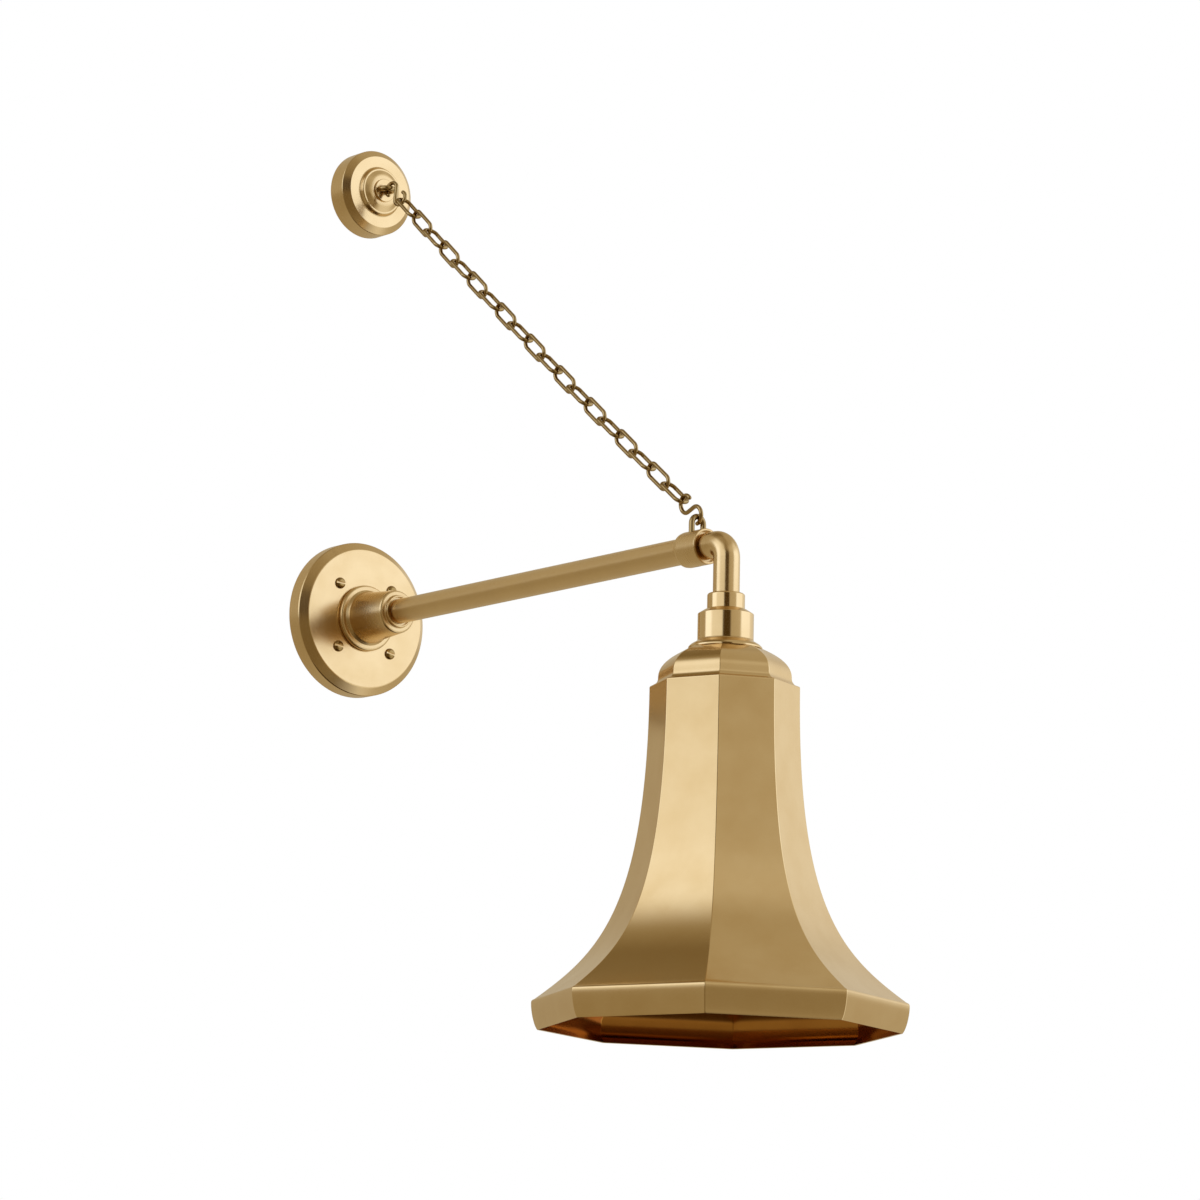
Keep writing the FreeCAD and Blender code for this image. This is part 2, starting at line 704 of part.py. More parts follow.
def canopy_cover():
    outer = canopy_d / 2
    inner = outer - canopy_wall
    face = canopy_face_d / 2
    bead = bead_d / 2
    dome = dome_d / 2
    disc = eye_disc_d / 2
    floor = canopy_depth - canopy_wall
    cover = turned_on_wall([
        (0, dome_top), (disc, dome_top), (dome * 0.78, dome_top - dome_rise * 0.18, 5.0),
        (dome, canopy_depth + bead_rise, 1.2), (bead - 1.3, canopy_depth + bead_rise, 1.0),
        (bead, canopy_depth, 1.2), (face, canopy_depth, 0.5), (outer, canopy_side, 0.9),
        (outer, 0, canopy_back_r), (inner, 0), (inner, canopy_side - canopy_wall * 0.5, 1.0),
        (face - canopy_wall * 0.5, floor, 1.0), (base_post_d / 2 + 2, floor),
        (base_post_d / 2 + slip, canopy_depth + bead_rise - canopy_wall),
        (0, canopy_depth + bead_rise - canopy_wall)], canopy_height)
    for side in (-1, 1):
        cover = cover.cut(wall_rod(staple_wire / 2 + slip, floor, dome_top + 1, side * staple_half, canopy_height))
    cover = cover.cut(grub_space(grub_d / 2 + slip))
    keep("canopy_cover", cover)


def canopy_grub_screw():
    start = canopy_d / 2 - grub_sunk - grub_length
    axis = Vector(0, -grub_distance, canopy_height)
    body = Part.makeCylinder(grub_d / 2, grub_length, axis + grub_axis() * start, grub_axis())
    key = hexagon(grub_key_af, grub_key_depth + 1, axis + grub_axis() * (start + grub_length - grub_key_depth),
                  grub_axis())
    keep("canopy_grub_screw", body.cut(key))


def eye_disc():
    disc = turned_on_wall([
        (0, dome_top), (eye_disc_d / 2, dome_top), (eye_disc_d / 2, disc_face, 0.4), (0, disc_face)], canopy_height)
    for side in (-1, 1):
        disc = disc.cut(wall_rod(staple_wire / 2 + slip, dome_top - 1, disc_face + 1, side * staple_half,
                                 canopy_height))
    keep("eye_disc", disc)


def staple(foot, top, out):
    """A round-topped staple: foot and top are points on its middle line, out its direction."""
    side = Vector(staple_half, 0, 0)
    spring = top - out * staple_half
    left = Part.makeLine(foot - side, spring - side)
    arch = Part.Arc(spring - side, top, spring + side).toShape()
    right = Part.makeLine(spring + side, foot + side)
    return wire_form([left, arch, right], staple_wire / 2)


def staples():
    out = Vector(0, -1, 0)
    keep("upper_staple", staple(Vector(0, -(disc_face - staple_root), canopy_height), upper_bar, out))
    outer = socket_d / 2
    foot = math.sqrt(outer ** 2 - staple_half ** 2) - lower_staple_sunk
    keep("lower_staple", staple(Vector(0, -staple_y, foot), lower_bar, Vector(0, 0, 1)))


# ---- stay chain
def seat_in_loop(radius, wire):
    """From the centre of a hook's loop to the middle of a wire that pulls on it."""
    return radius - hook_wire / 2 - wire / 2 - gap


def chain_line():
    """The line of pull, the first loop of each hook, and the two ends of the run of links."""
    along = (lower_bar - upper_bar).normalize()
    upper_loop = upper_bar + along * seat_in_loop(upper_hook_r, staple_wire)
    lower_loop = lower_bar - along * (seat_in_loop(lower_hook_r, staple_wire) + hook_spread)
    first = upper_loop + along * (hook_spread + seat_in_loop(upper_hook_r, link_wire))
    last = lower_loop - along * seat_in_loop(lower_hook_r, link_wire)
    return along, upper_loop, lower_loop, first, last


def link_count():
    along, upper_loop, lower_loop, first, last = chain_line()
    wanted = ((last - first).Length - gap - link_wire) / link_pitch_wanted
    return 2 * round((wanted - 1) / 2) + 1


def hook(start, along, across, radius, sweeps):
    """A hook of two open loops: start is the upper loop's centre, across the hook's other axis."""
    lean = math.acos(min(0.95, 2 * radius / hook_spread))
    upper_sweep, lower_sweep = (math.radians(sweep) for sweep in sweeps)

    def spot(centre, angle):
        return start + along * (centre + radius * math.cos(angle)) + across * (radius * math.sin(angle))

    upper_tip = spot(0, lean + upper_sweep)
    first = Part.Arc(upper_tip, spot(0, lean + upper_sweep / 2), spot(0, lean)).toShape()
    other = math.pi + lean
    lower_tip = spot(hook_spread, other + lower_sweep)
    cross = Part.makeLine(spot(0, lean), spot(hook_spread, other))
    second = Part.Arc(spot(hook_spread, other), spot(hook_spread, other + lower_sweep / 2), lower_tip).toShape()
    body = wire_form([first, cross, second], hook_wire / 2)
    for tip in (upper_tip, lower_tip):
        body = body.fuse(Part.makeSphere(hook_wire / 2, tip))
    return body


def turned_axes(along, degrees):
    """Two axes square to along: the second is X turned about along."""
    x = Vector(1, 0, 0)
    up = x.cross(along)
    angle = math.radians(degrees)
    return up * math.cos(angle) + x * math.sin(angle), x * math.cos(angle) - up * math.sin(angle)


def hooks():
    along, upper_loop, lower_loop, first, last = chain_line()
    across = turned_axes(along, upper_hook_turn)[0] * -1
    keep("upper_hook", hook(upper_loop, along, across, upper_hook_r, upper_hook_sweeps))
    across = turned_axes(along, lower_hook_turn)[0]
    keep("lower_hook", hook(lower_loop, along, across, lower_hook_r, lower_hook_sweeps))


def plain_link(pitch):
    """A link on the origin: long along Z, wide along X."""
    bend = (link_d - link_wire) / 2
    reach = (pitch + gap + link_wire) / 2 - bend
    body = None
    for side in (-1, 1):
        disc = Part.Face(Part.Wire([Part.makeCircle(link_wire / 2, Vector(bend, 0, side * reach), Vector(0, 0, 1))]))
        end = disc.revolve(Vector(0, 0, side * reach), Vector(0, -side, 0), 180)
        leg = Part.makeCylinder(link_wire / 2, 2 * reach, Vector(side * bend, 0, -reach))
        body = end.fuse(leg) if body is None else body.fuse(end).fuse(leg)
    return body


def chain_links():
    along, upper_loop, lower_loop, first, last = chain_line()
    count = link_count()
    length = (last - first).Length
    pitch = (length - gap - link_wire) / count
    sag_to = Vector(1, 0, 0).cross(along).normalize()
    if sag_to.z > 0:
        sag_to = sag_to * -1
    template = plain_link(pitch)
    for i in range(count):
        middle = (i * pitch + (pitch + gap + link_wire) / 2) / length
        centre = first + along * (middle * length) + sag_to * (4 * chain_sag * middle * (1 - middle))
        slope = 4 * chain_sag * (1 - 2 * middle) / length
        heading = (along + sag_to * slope).normalize()
        up, level = turned_axes(heading, link_turn)
        wide = level if i % 2 == 0 else up
        flat = heading.cross(wide)
        link = template.copy()
        link.Placement = FreeCAD.Placement(FreeCAD.Matrix(
            wide.x, flat.x, heading.x, centre.x, wide.y, flat.y, heading.y, centre.y,
            wide.z, flat.z, heading.z, centre.z, 0, 0, 0, 1))
        keep(f"chain_link_{i + 1:02d}", link)
        print(f"chain_link_{i + 1:02d} centre {tuple(round(v, 3) for v in centre)} "
              f"along {tuple(round(v, 5) for v in heading)}")
    print(f"chain: {count} links at {pitch:.2f} mm, {length:.1f} mm from hook to hook")


# ---- lead, from the terminals through the arm to the lampholder
def lead_in_arm():
    width = terminal_size[0]
    y = -lead_y
    start = Vector(terminal_x - width / 2, y, 0)
    turn_in = Vector(lead_bend_r, y, 0)
    turn_out = Vector(0, y - lead_bend_r, 0)
    centre = Vector(lead_bend_r, y - lead_bend_r, 0)
    half = centre + Vector(-1, 1, 0).normalize() * lead_bend_r
    end = Vector(0, -(web_start + socket_web / 2), 0)
    keep("lead_in_arm", wire_form([Part.makeLine(start, turn_in), Part.Arc(turn_in, half, turn_out).toShape(),
                                   Part.makeLine(turn_out, end)], lead_d / 2))


def lead_in_drop():
    start = Vector(0, -(web_start + socket_web / 2) - gap, 0)
    turn_in = Vector(0, -(arm_reach - elbow_bend_r), 0)
    turn_out = Vector(0, -arm_reach, -elbow_bend_r)
    centre = Vector(0, -(arm_reach - elbow_bend_r), -elbow_bend_r)
    half = centre + Vector(0, -1, 1).normalize() * elbow_bend_r
    end = Vector(0, -arm_reach, -insert_top)
    keep("lead_in_drop", wire_form([Part.makeLine(start, turn_in), Part.Arc(turn_in, half, turn_out).toShape(),
                                    Part.makeLine(turn_out, end)], lead_d / 2))


for build in (wall_plate, fixing_plate, plate_spacers, plate_screws, earth_screw, terminal_block, arm_boss, boss_nut,
              arm_tube, arm_socket, stop_screw, elbow, holder_cap, holder_shell, holder_nut, shade_gallery,
              socket_insert, lamp_shell, lamp_contact, shade, shade_ring, canopy_base, canopy_cover,
              canopy_grub_screw, eye_disc, staples, hooks, chain_links, lead_in_arm, lead_in_drop):
    build()

os.makedirs("parts", exist_ok=True)
for name, shape in made.items():
    if not shape.isValid():
        print("not valid:", name)
    shape.exportStep(f"parts/{name}.step")
along, upper_loop, lower_loop, first, last = chain_line()
print("chain sway axis through", tuple(round(v, 3) for v in upper_bar), "and", tuple(round(v, 3) for v in lower_bar))
print("nodes:", len(made))
print(f"shade {shade_top:.1f} to {shade_foot:.1f} below the arm, lead bends {lead_bend_r} and {elbow_bend_r}")
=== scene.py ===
# %% [markdown]
# A brass wall light, piece by piece. A round wall plate carries a straight arm, an elbow
# at the arm's end carries the lampholder and an eight-sided bell shade, and a chain runs
# from a small canopy down to the arm. The imported solids are loaded as a fixed frame: they
# give every place and size, and this file dresses them with smoother forms and real
# finishes. Sizes are written in millimetres, as on a drawing, and turned to metres when a
# mesh is made. +Z is up, the wall is the plane Y = 0 and the room is on its -Y side.

# %% The frame: the imported solids, set in world space
import math
import bmesh
import bpy
from mathutils import Matrix, Vector


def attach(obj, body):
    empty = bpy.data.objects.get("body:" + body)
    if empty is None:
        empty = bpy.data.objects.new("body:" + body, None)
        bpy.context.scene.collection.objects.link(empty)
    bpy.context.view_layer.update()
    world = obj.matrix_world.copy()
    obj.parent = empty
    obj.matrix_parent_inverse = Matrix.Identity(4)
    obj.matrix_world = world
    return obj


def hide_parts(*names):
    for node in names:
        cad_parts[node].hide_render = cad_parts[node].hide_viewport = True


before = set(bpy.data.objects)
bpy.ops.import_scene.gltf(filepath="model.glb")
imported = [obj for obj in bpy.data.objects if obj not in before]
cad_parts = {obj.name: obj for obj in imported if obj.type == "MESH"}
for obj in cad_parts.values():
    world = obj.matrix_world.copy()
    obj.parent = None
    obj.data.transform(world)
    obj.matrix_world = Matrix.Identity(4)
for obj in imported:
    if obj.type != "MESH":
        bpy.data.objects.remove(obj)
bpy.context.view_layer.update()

# %% [markdown]
# The camera comes from the picture: its circles, straight edges and the octagon of the
# shade give the direction, the distance and the focal length. It looks slightly upwards,
# because it stands lower than the middle of the light. A camera's matrix has its right,
# its up and its backward direction as columns, so it can be written down directly instead
# of being aimed by hand.

# %% The camera
MM = 0.001
PICTURE = 1200                       # pixels along one side
FOCAL_LENGTH = 4953.33               # in the same pixels
CAMERA_AT = Vector((-2241.9, -3063.02, -685.71))
turn, tilt, roll = (math.radians(a) for a in (-39.11, -10.56, 1.18))
forward = Vector((-math.sin(turn) * math.cos(tilt), math.cos(turn) * math.cos(tilt), -math.sin(tilt)))
level = Vector((math.cos(turn), math.sin(turn), 0))
upright = level.cross(forward)
picture_right = level * math.cos(roll) + upright * math.sin(roll)
picture_up = upright * math.cos(roll) - level * math.sin(roll)
camera_data = bpy.data.cameras.new("picture_camera")
camera_data.sensor_width = 36.0
camera_data.lens = FOCAL_LENGTH / PICTURE * camera_data.sensor_width
camera_data.clip_end = 50
camera = bpy.data.objects.new("picture_camera", camera_data)
camera.matrix_world = Matrix.Translation(CAMERA_AT * MM) @ Matrix(
    (picture_right, picture_up, -forward)).transposed().to_4x4()
bpy.context.scene.collection.objects.link(camera)
bpy.context.scene.camera = camera
print(f"lens {camera_data.lens:.1f} mm, {camera.location.length:.2f} m from the wall plate")

# %% [markdown]
# Four helpers carry the whole file. Colours are picked as sRGB hex values, as a colour
# chart gives them, but shaders calculate in linear light, so one function converts them.
# Node trees, both for shaders and for geometry, are built by adding nodes with their
# settings and their inputs: an input that is given as another node's output is linked.
# The other two mix a pair of colours and start a new finish.

# %% A colour, a node, a mix and a new finish
def colour(hex_value):
    """An sRGB hex value as linear light."""
    parts = [int(hex_value[i:i + 2], 16) / 255 for i in (1, 3, 5)]
    linear = [c / 12.92 if c <= 0.04045 else ((c + 0.055) / 1.055) ** 2.4 for c in parts]
    return (*linear, 1.0)


def add(tree, kind, inputs=None, **settings):
    """One node, with its settings, its input values and its links. A node that is given as
    an input stands for its first output."""
    node = tree.nodes.new(kind)
    for key, value in settings.items():
        setattr(node, key, value)
    for key, value in (inputs or {}).items():
        if isinstance(value, bpy.types.Node):
            value = value.outputs[0]
        if isinstance(value, bpy.types.NodeSocket):
            tree.links.new(value, node.inputs[key])
        else:
            node.inputs[key].default_value = value
    return node


def blend(tree, share, first, second):
    """A mix of two colours, as a node's output."""
    return add(tree, "ShaderNodeMix", {0: share, 6: first, 7: second}, data_type="RGBA").outputs[2]


def new_finish(name):
    """An empty material, its node tree and the Object coordinates in it."""
    material = bpy.data.materials.new(name)
    material.use_nodes = True
    tree = material.node_tree
    tree.nodes.clear()
    return material, tree, add(tree, "ShaderNodeTexCoord").outputs["Object"]


print("mid brass in linear light:", [round(c, 3) for c in colour("#C8A063")])

# %% [markdown]
# Polished and satin metal has hardly any colour of its own: it shows the room in its own
# tint. A light tent for metalware is therefore made of pale sheets with gaps between
# them. The sheets give the broad bright bands, the gap for the camera gives the narrow
# dark band that makes a round piece look like metal, and card above and below keeps the
# sloping faces calm. The tent is painted into the world: rings of brightness by compass
# direction, one above the other, where 0 is the camera's side and plus is to its right.
# Dim light in such a tent has bounced off card and wood, so the dimmer it is, the warmer.
# Only mirrored rays meet the tent. The camera and glass see a plain white sweep, and
# every other ray meets a plain, even light, so that a painted or glazed piece keeps the
# colour that it is given. Rays are not aimed at the world, because an aimed ray would
# not know that it is a mirrored one.

# %% The light tent
world = bpy.data.worlds.new("light_tent")
bpy.context.scene.world = world
world.use_nodes = True
world.cycles.sampling_method = "NONE"
tent = world.node_tree
tent.nodes.clear()
CAMERA_SIDE = math.degrees(math.atan2(camera.location.y, camera.location.x))
UNDERFOOT = 0.06
EVEN_LIGHT, WHITE_SWEEP = (0.74, 0.74, 0.74, 1), (1, 1, 1, 1)
RINGS = [  # name, the heights in degrees between which it takes over, and (direction, brightness)
    ("table", -62, -48, [(-180, 0.47), (-120, 0.42), (-100, 0.36), (-55, 0.36), (-40, 0.20), (10, 0.20),
                         (30, 0.30), (52, 0.45), (64, 0.90), (95, 0.90), (112, 0.55), (180, 0.47)]),
    ("sheets", 1, 9, [(-180, 0.55), (-160, 0.47), (-98, 0.46), (-93, 1.36), (-69, 1.34), (-60, 1.00),
                      (-19, 0.96), (-14, 0.07), (14, 0.07), (18, 0.52), (58, 0.60), (65, 1.28),
                      (110, 1.24), (116, 0.98), (150, 0.75), (180, 0.55)]),
    ("card", 24, 38, [(-180, 0.50), (-118, 0.47), (-94, 0.60), (-82, 1.12), (-58, 1.10), (-45, 0.90),
                      (-28, 0.72), (-18, 0.28), (2, 0.28), (16, 0.50), (33, 0.62), (60, 0.68), (80, 0.90),
                      (105, 0.90), (122, 0.55), (150, 0.50), (180, 0.50)]),
    ("roof", 42, 59, [(-180, 0.36), (-158, 0.24), (-120, 0.22), (-98, 0.30), (-72, 0.42), (0, 0.32),
                      (18, 0.38), (45, 0.48), (150, 0.50), (168, 0.42), (180, 0.36)])]


def sheet(brightness):
    return brightness, brightness ** 1.21, brightness ** 1.69, 1.0


look = add(tent, "ShaderNodeTexCoord")
part = add(tent, "ShaderNodeSeparateXYZ", {0: look.outputs["Generated"]})
bearing = add(tent, "ShaderNodeMath", {0: part.outputs["Y"], 1: part.outputs["X"]}, operation="ARCTAN2")
turns = add(tent, "ShaderNodeMath", {0: bearing, 1: 1 / math.tau, 2: 1.5 - CAMERA_SIDE / 360},
            operation="MULTIPLY_ADD")
round_once = add(tent, "ShaderNodeMath", {0: turns}, operation="FRACT")
walls = sheet(UNDERFOOT)
for name, start, full, stops in RINGS:
    ring = add(tent, "ShaderNodeValToRGB", {0: round_once}, label=name)
    while len(ring.color_ramp.elements) < len(stops):
        ring.color_ramp.elements.new(1.0)
    for stop, (degrees, brightness) in zip(ring.color_ramp.elements, stops):
        stop.position = (degrees + 180) / 360
        stop.color = sheet(brightness)
    height = add(tent, "ShaderNodeMapRange", {
        "Value": part.outputs["Z"], "From Min": math.sin(math.radians(start)),
        "From Max": math.sin(math.radians(full))}, interpolation_type="SMOOTHSTEP")
    walls = blend(tent, height, walls, ring)
path = add(tent, "ShaderNodeLightPath")
plain = blend(tent, path.outputs["Is Glossy Ray"], EVEN_LIGHT, walls)
seen = add(tent, "ShaderNodeMath", {0: path.outputs["Is Camera Ray"], 1: path.outputs["Is Transmission Ray"]},
           operation="MAXIMUM")
shown = blend(tent, seen, plain, WHITE_SWEEP)
sky = add(tent, "ShaderNodeBackground", {"Color": shown, "Strength": 1.0})
add(tent, "ShaderNodeOutputWorld", {"Surface": sky})
bpy.context.scene.view_settings.view_transform = "Standard"
print("tent rings:", [ring[0] for ring in RINGS], "camera side at", round(CAMERA_SIDE), "degrees")


# %% One soft lamp, and the floor
lamp_data = bpy.data.lights.new("soft_key", "AREA")
lamp_data.shape = "DISK"
lamp_data.size = 1.8
lamp_data.energy = 30
key = bpy.data.objects.new("soft_key", lamp_data)
key.location = (-2.0, -2.6, 2.0)
key.rotation_euler = (Vector((0, -0.3, 0)) - key.location).to_track_quat("-Z", "Y").to_euler()
key.visible_glossy = False           # the tent's pale sheets are what the metal mirrors
bpy.context.scene.collection.objects.link(key)

FLOOR_Z = -1.35                      # below the camera, which looks upwards past it
FLOOR_HALF = 7
floor_mesh = bpy.data.meshes.new("floor")
floor_mesh.from_pydata([(x * FLOOR_HALF, y * FLOOR_HALF, FLOOR_Z)
                        for x, y in ((-1, -1), (1, -1), (1, 1), (-1, 1))], [], [(0, 1, 2, 3)])
floor = bpy.data.objects.new("floor", floor_mesh)
floor.visible_glossy = False         # the tent's table is what the metal mirrors
bpy.context.scene.collection.objects.link(floor)
print("floor at", FLOOR_Z, "m")

# %% [markdown]
# The floor is matt painted board. It keeps its own pale colour, and only a trace of
# mottling keeps it from looking like a flat fill.

# %% Finish: matt painted floor
matt_floor, tree, place = new_finish("matt_painted_board")
mottle = add(tree, "ShaderNodeTexNoise", {"Vector": place, "Scale": 1.5, "Detail": 3.0})
pale = blend(tree, mottle.outputs["Fac"], colour("#F4F4F3"), colour("#EFEFEE"))
board = add(tree, "ShaderNodeBsdfPrincipled", {"Base Color": pale, "Roughness": 0.85})
add(tree, "ShaderNodeOutputMaterial", {"Surface": board})
floor_mesh.materials.append(matt_floor)
print("floor finish:", matt_floor.name)

# %% [markdown]
# Almost everything that shows is brass: an alloy of copper and zinc, turned on a lathe,
# drawn into tube and wire, or pressed from sheet, then brushed to a satin and lacquered.
# The eye reads three things. The tint is a pale yellow that goes golden where it mirrors
# something dark. The surface is never quite even, because the lacquer and the slow
# tarnish below it lie in soft clouds one to three centimetres wide. And the brushing
# leaves fine lines in the direction of the work: rings on turned pieces, and lengthwise
# lines on tube, wire and sheet. The real lines are about 0.1 mm apart, which a picture of
# the whole light can't show, so they are drawn 0.6 to 1.2 mm apart. One function mixes
# these for each way of working. It also darkens the colour towards a dark brown where
# ambient occlusion finds recesses, creases and joins between parts. This is partly the
# tarnish that polishing never reaches, and partly painted shade where less light falls.

# %% Brass, for any way of working it
REACH = 446.7                        # wall to the axis of the drop
CANOPY_Z = 341.1                     # canopy above the arm
CLOUD = 28.0                         # the lacquer's soft clouds, from light to light


def brass(name, roughness, lines, centre=None, across=None, tone="#E7CC9B", tarnish="#D9B87F", painted_shade_and_tarnish=0.18,
          recess_mm=4.0, brushed=0.02):
    """Satin brass: lines is the scale of the brushing along X, Y and Z, or along the
    radius and the axis where centre and across tell the axis that it was turned about."""
    material, tree, place = new_finish(name)
    worked = place
    if centre is not None:
        offset = add(tree, "ShaderNodeVectorMath", {0: place, 1: centre}, operation="SUBTRACT")
        flat = add(tree, "ShaderNodeVectorMath", {0: offset, 1: across}, operation="MULTIPLY")
        radius = add(tree, "ShaderNodeVectorMath", {0: flat}, operation="LENGTH")
        axis = [1 - a for a in across]
        depth = add(tree, "ShaderNodeVectorMath", {0: offset, 1: axis}, operation="DOT_PRODUCT")
        worked = add(tree, "ShaderNodeCombineXYZ", {
            "X": radius.outputs["Value"], "Y": depth.outputs["Value"]}).outputs[0]
    along = add(tree, "ShaderNodeVectorMath", {0: worked, 1: lines}, operation="MULTIPLY").outputs[0]
    brushing = add(tree, "ShaderNodeTexNoise", {"Vector": along, "Scale": 1.0, "Detail": 2.0})
    clouds = add(tree, "ShaderNodeTexNoise", {"Vector": place, "Scale": 1 / (CLOUD * MM), "Detail": 3.0})
    cloud = add(tree, "ShaderNodeMapRange", {
        "Value": clouds.outputs["Fac"], "From Min": 0.35, "From Max": 0.7, "To Max": 0.4})
    metal = blend(tree, cloud, colour(tone), colour(tarnish))
    # Painted shade and tarnish: ambient occlusion pulls the colour towards dark brown in recesses, creases
    # and between parts.
    recess = add(tree, "ShaderNodeAmbientOcclusion", {"Distance": recess_mm * MM}, samples=16)
    shade_and_tarnish_share = add(tree, "ShaderNodeMapRange", {
        "Value": recess.outputs["AO"], "From Min": 0.2, "From Max": 0.8, "To Min": painted_shade_and_tarnish, "To Max": 0.0})
    finish = blend(tree, shade_and_tarnish_share, metal, colour("#7A5528"))
    uneven = add(tree, "ShaderNodeMath", {0: brushing.outputs["Fac"], 1: 0.5, 2: clouds.outputs["Fac"]},
                 operation="MULTIPLY_ADD")
    satin = add(tree, "ShaderNodeMapRange", {
        "Value": uneven, "From Min": 0.45, "From Max": 1.05,
        "To Min": roughness - 0.03, "To Max": roughness + 0.03})
    scratch = add(tree, "ShaderNodeBump", {
        "Height": brushing.outputs["Fac"], "Strength": brushed, "Distance": 0.1 * MM})
    surface = add(tree, "ShaderNodeBsdfPrincipled", {
        "Base Color": finish, "Metallic": 1.0, "Roughness": satin,
        "Normal": scratch})
    add(tree, "ShaderNodeOutputMaterial", {"Surface": surface})
    return material


brass_plate = brass("turned_brass_wall_plate", 0.23, (900, 500, 0), (0, 0, 0), (1, 0, 1))
brass_arm_end = brass("turned_brass_on_the_arm", 0.28, (1300, 900, 0), (0, 0, 0), (1, 0, 1),
                      tarnish="#CFA96C")
brass_canopy = brass("turned_brass_canopy", 0.22, (1100, 900, 0), (0, 0, CANOPY_Z * MM), (1, 0, 1))
brass_holder = brass("turned_brass_lampholder", 0.14, (1100, 1300, 0), (0, -REACH * MM, 0), (1, 1, 0))
brass_tube = brass("drawn_brass_tube", 0.22, (1500, 50, 1500), tarnish="#DCC092")
brass_elbow = brass("drawn_and_bent_brass_tube", 0.21, (1500, 1500, 1500), brushed=0.01)
brass_wire = brass("drawn_brass_wire", 0.15, (700, 700, 700), tone="#B59D6F", tarnish="#9A7E4E", painted_shade_and_tarnish=0.25,
                   recess_mm=1.5, brushed=0.04)
brass_sheet = brass("brushed_brass_sheet", 0.17, (900, 900, 45), painted_shade_and_tarnish=0.1, recess_mm=3.0)
# Inside the bell: a darker, more orange brass, partly unpolished sheet and partly painted shade for the dim
# inside.
brass_inside_with_painted_shade = brass("unpolished_brass_with_painted_shade_inside_the_bell", 0.20, (500, 500, 60), tone="#C58D45",
                     tarnish="#AD7330", painted_shade_and_tarnish=0.1, brushed=0.04)
brass_screw = brass("turned_brass_screw", 0.17, (1500, 1500, 1500), tone="#A58A58", tarnish="#8E7443",
                    recess_mm=1.2, painted_shade_and_tarnish=0.1)
print("brass finishes:", len([m for m in bpy.data.materials if "brass" in m.name]))

# %% [markdown]
# The other pieces have their own stuff. Zinc-plated steel is a cold, slightly mottled
# grey metal, and the canopy's grub screw is blackened steel, deep in its hole. The
# terminal block is moulded polyamide, off-white with a soft gloss. The lead's sheath is
# smooth dark rubber, and the lampholder's insert is glazed porcelain: a pale body under a
# hard, glassy skin, which is what a clear coat over a rougher base does.

# %% Steel, polyamide, sheath and porcelain
def stuff(name, light, dark, cloud_mm, roughness, metallic=0.0, glaze=0.0, grain_mm=0.5, bump=0.05):
    """A plain finish with soft clouds of two tones and a fine grain."""
    material, tree, place = new_finish(name)
    clouds = add(tree, "ShaderNodeTexNoise", {"Vector": place, "Scale": 1 / (cloud_mm * MM), "Detail": 3.0})
    tone = blend(tree, clouds.outputs["Fac"], colour(light), colour(dark))
    grain = add(tree, "ShaderNodeTexNoise", {"Vector": place, "Scale": 1 / (grain_mm * MM)})
    relief = add(tree, "ShaderNodeBump", {
        "Height": grain.outputs["Fac"], "Strength": bump, "Distance": 0.2 * MM})
    surface = add(tree, "ShaderNodeBsdfPrincipled", {
        "Base Color": tone, "Metallic": metallic, "Roughness": roughness, "Coat Weight": glaze,
        "Coat Roughness": 0.05, "Normal": relief})
    add(tree, "ShaderNodeOutputMaterial", {"Surface": surface})
    return material


zinc = stuff("zinc_plated_steel", "#C9CCCC", "#A9ACAA", 9.0, 0.38, metallic=1.0, grain_mm=1.2)
polyamide = stuff("moulded_polyamide", "#EDEBE2", "#E2DFD4", 12.0, 0.42)
sheath = stuff("rubber_sheath", "#2E2A26", "#241F1B", 8.0, 0.6, bump=0.1)
blackened = stuff("blackened_steel", "#3A2D20", "#2A2018", 6.0, 0.45, metallic=1.0)
porcelain = stuff("glazed_porcelain", "#F1EEE6", "#E6E1D6", 15.0, 0.5, glaze=0.9, bump=0.02)
print("other finishes:", zinc.name, polyamide.name, sheath.name, blackened.name, porcelain.name)

# %% [markdown]
# Turned pieces are drawn as half of their section, exactly as for a lathe: corners as
# (radius, place on the axis), each with the radius that it is rounded to. The rounding is
# worth its points, because a real turned edge is never sharp, and the thin highlight
# along it is what makes the piece look solid. The section is spun round its axis with
# bmesh, which gives even rings of faces, so that reflections run smoothly where the
# triangles of an imported solid would break them up.

# %% From a lathe section to a mesh
def rounded(corners, step=12):
    """The points of a closed section whose corners (a, b) or (a, b, radius) are rounded."""
    points = [Vector(c[:2]) for c in corners]
    radii = [c[2] if len(c) > 2 else 0.0 for c in corners]
    outline = []
    for i, here in enumerate(points):
        j = (i + 1) % len(points)
        back, on = points[i - 1] - here, points[j] - here
        half = back.angle(on) / 2
        room = min(back.length * (0.49 if radii[i - 1] else 0.98), on.length * (0.49 if radii[j] else 0.98))
        cut = min(radii[i] / math.tan(half), room) if radii[i] else 0.0
        if cut < 1e-6:
            outline.append(here)
            continue
        radius = cut * math.tan(half)
        centre = here + (back.normalized() + on.normalized()).normalized() * (radius / math.sin(half))
        first, last = here + back.normalized() * cut - centre, here + on.normalized() * cut - centre
        swing = first.angle(last)
        count = max(2, math.ceil(math.degrees(swing) / step))
        for k in range(count + 1):
            t = k / count
            mixed = first * math.sin((1 - t) * swing) + last * math.sin(t * swing)
            outline.append(centre + mixed / math.sin(swing))
    return outline


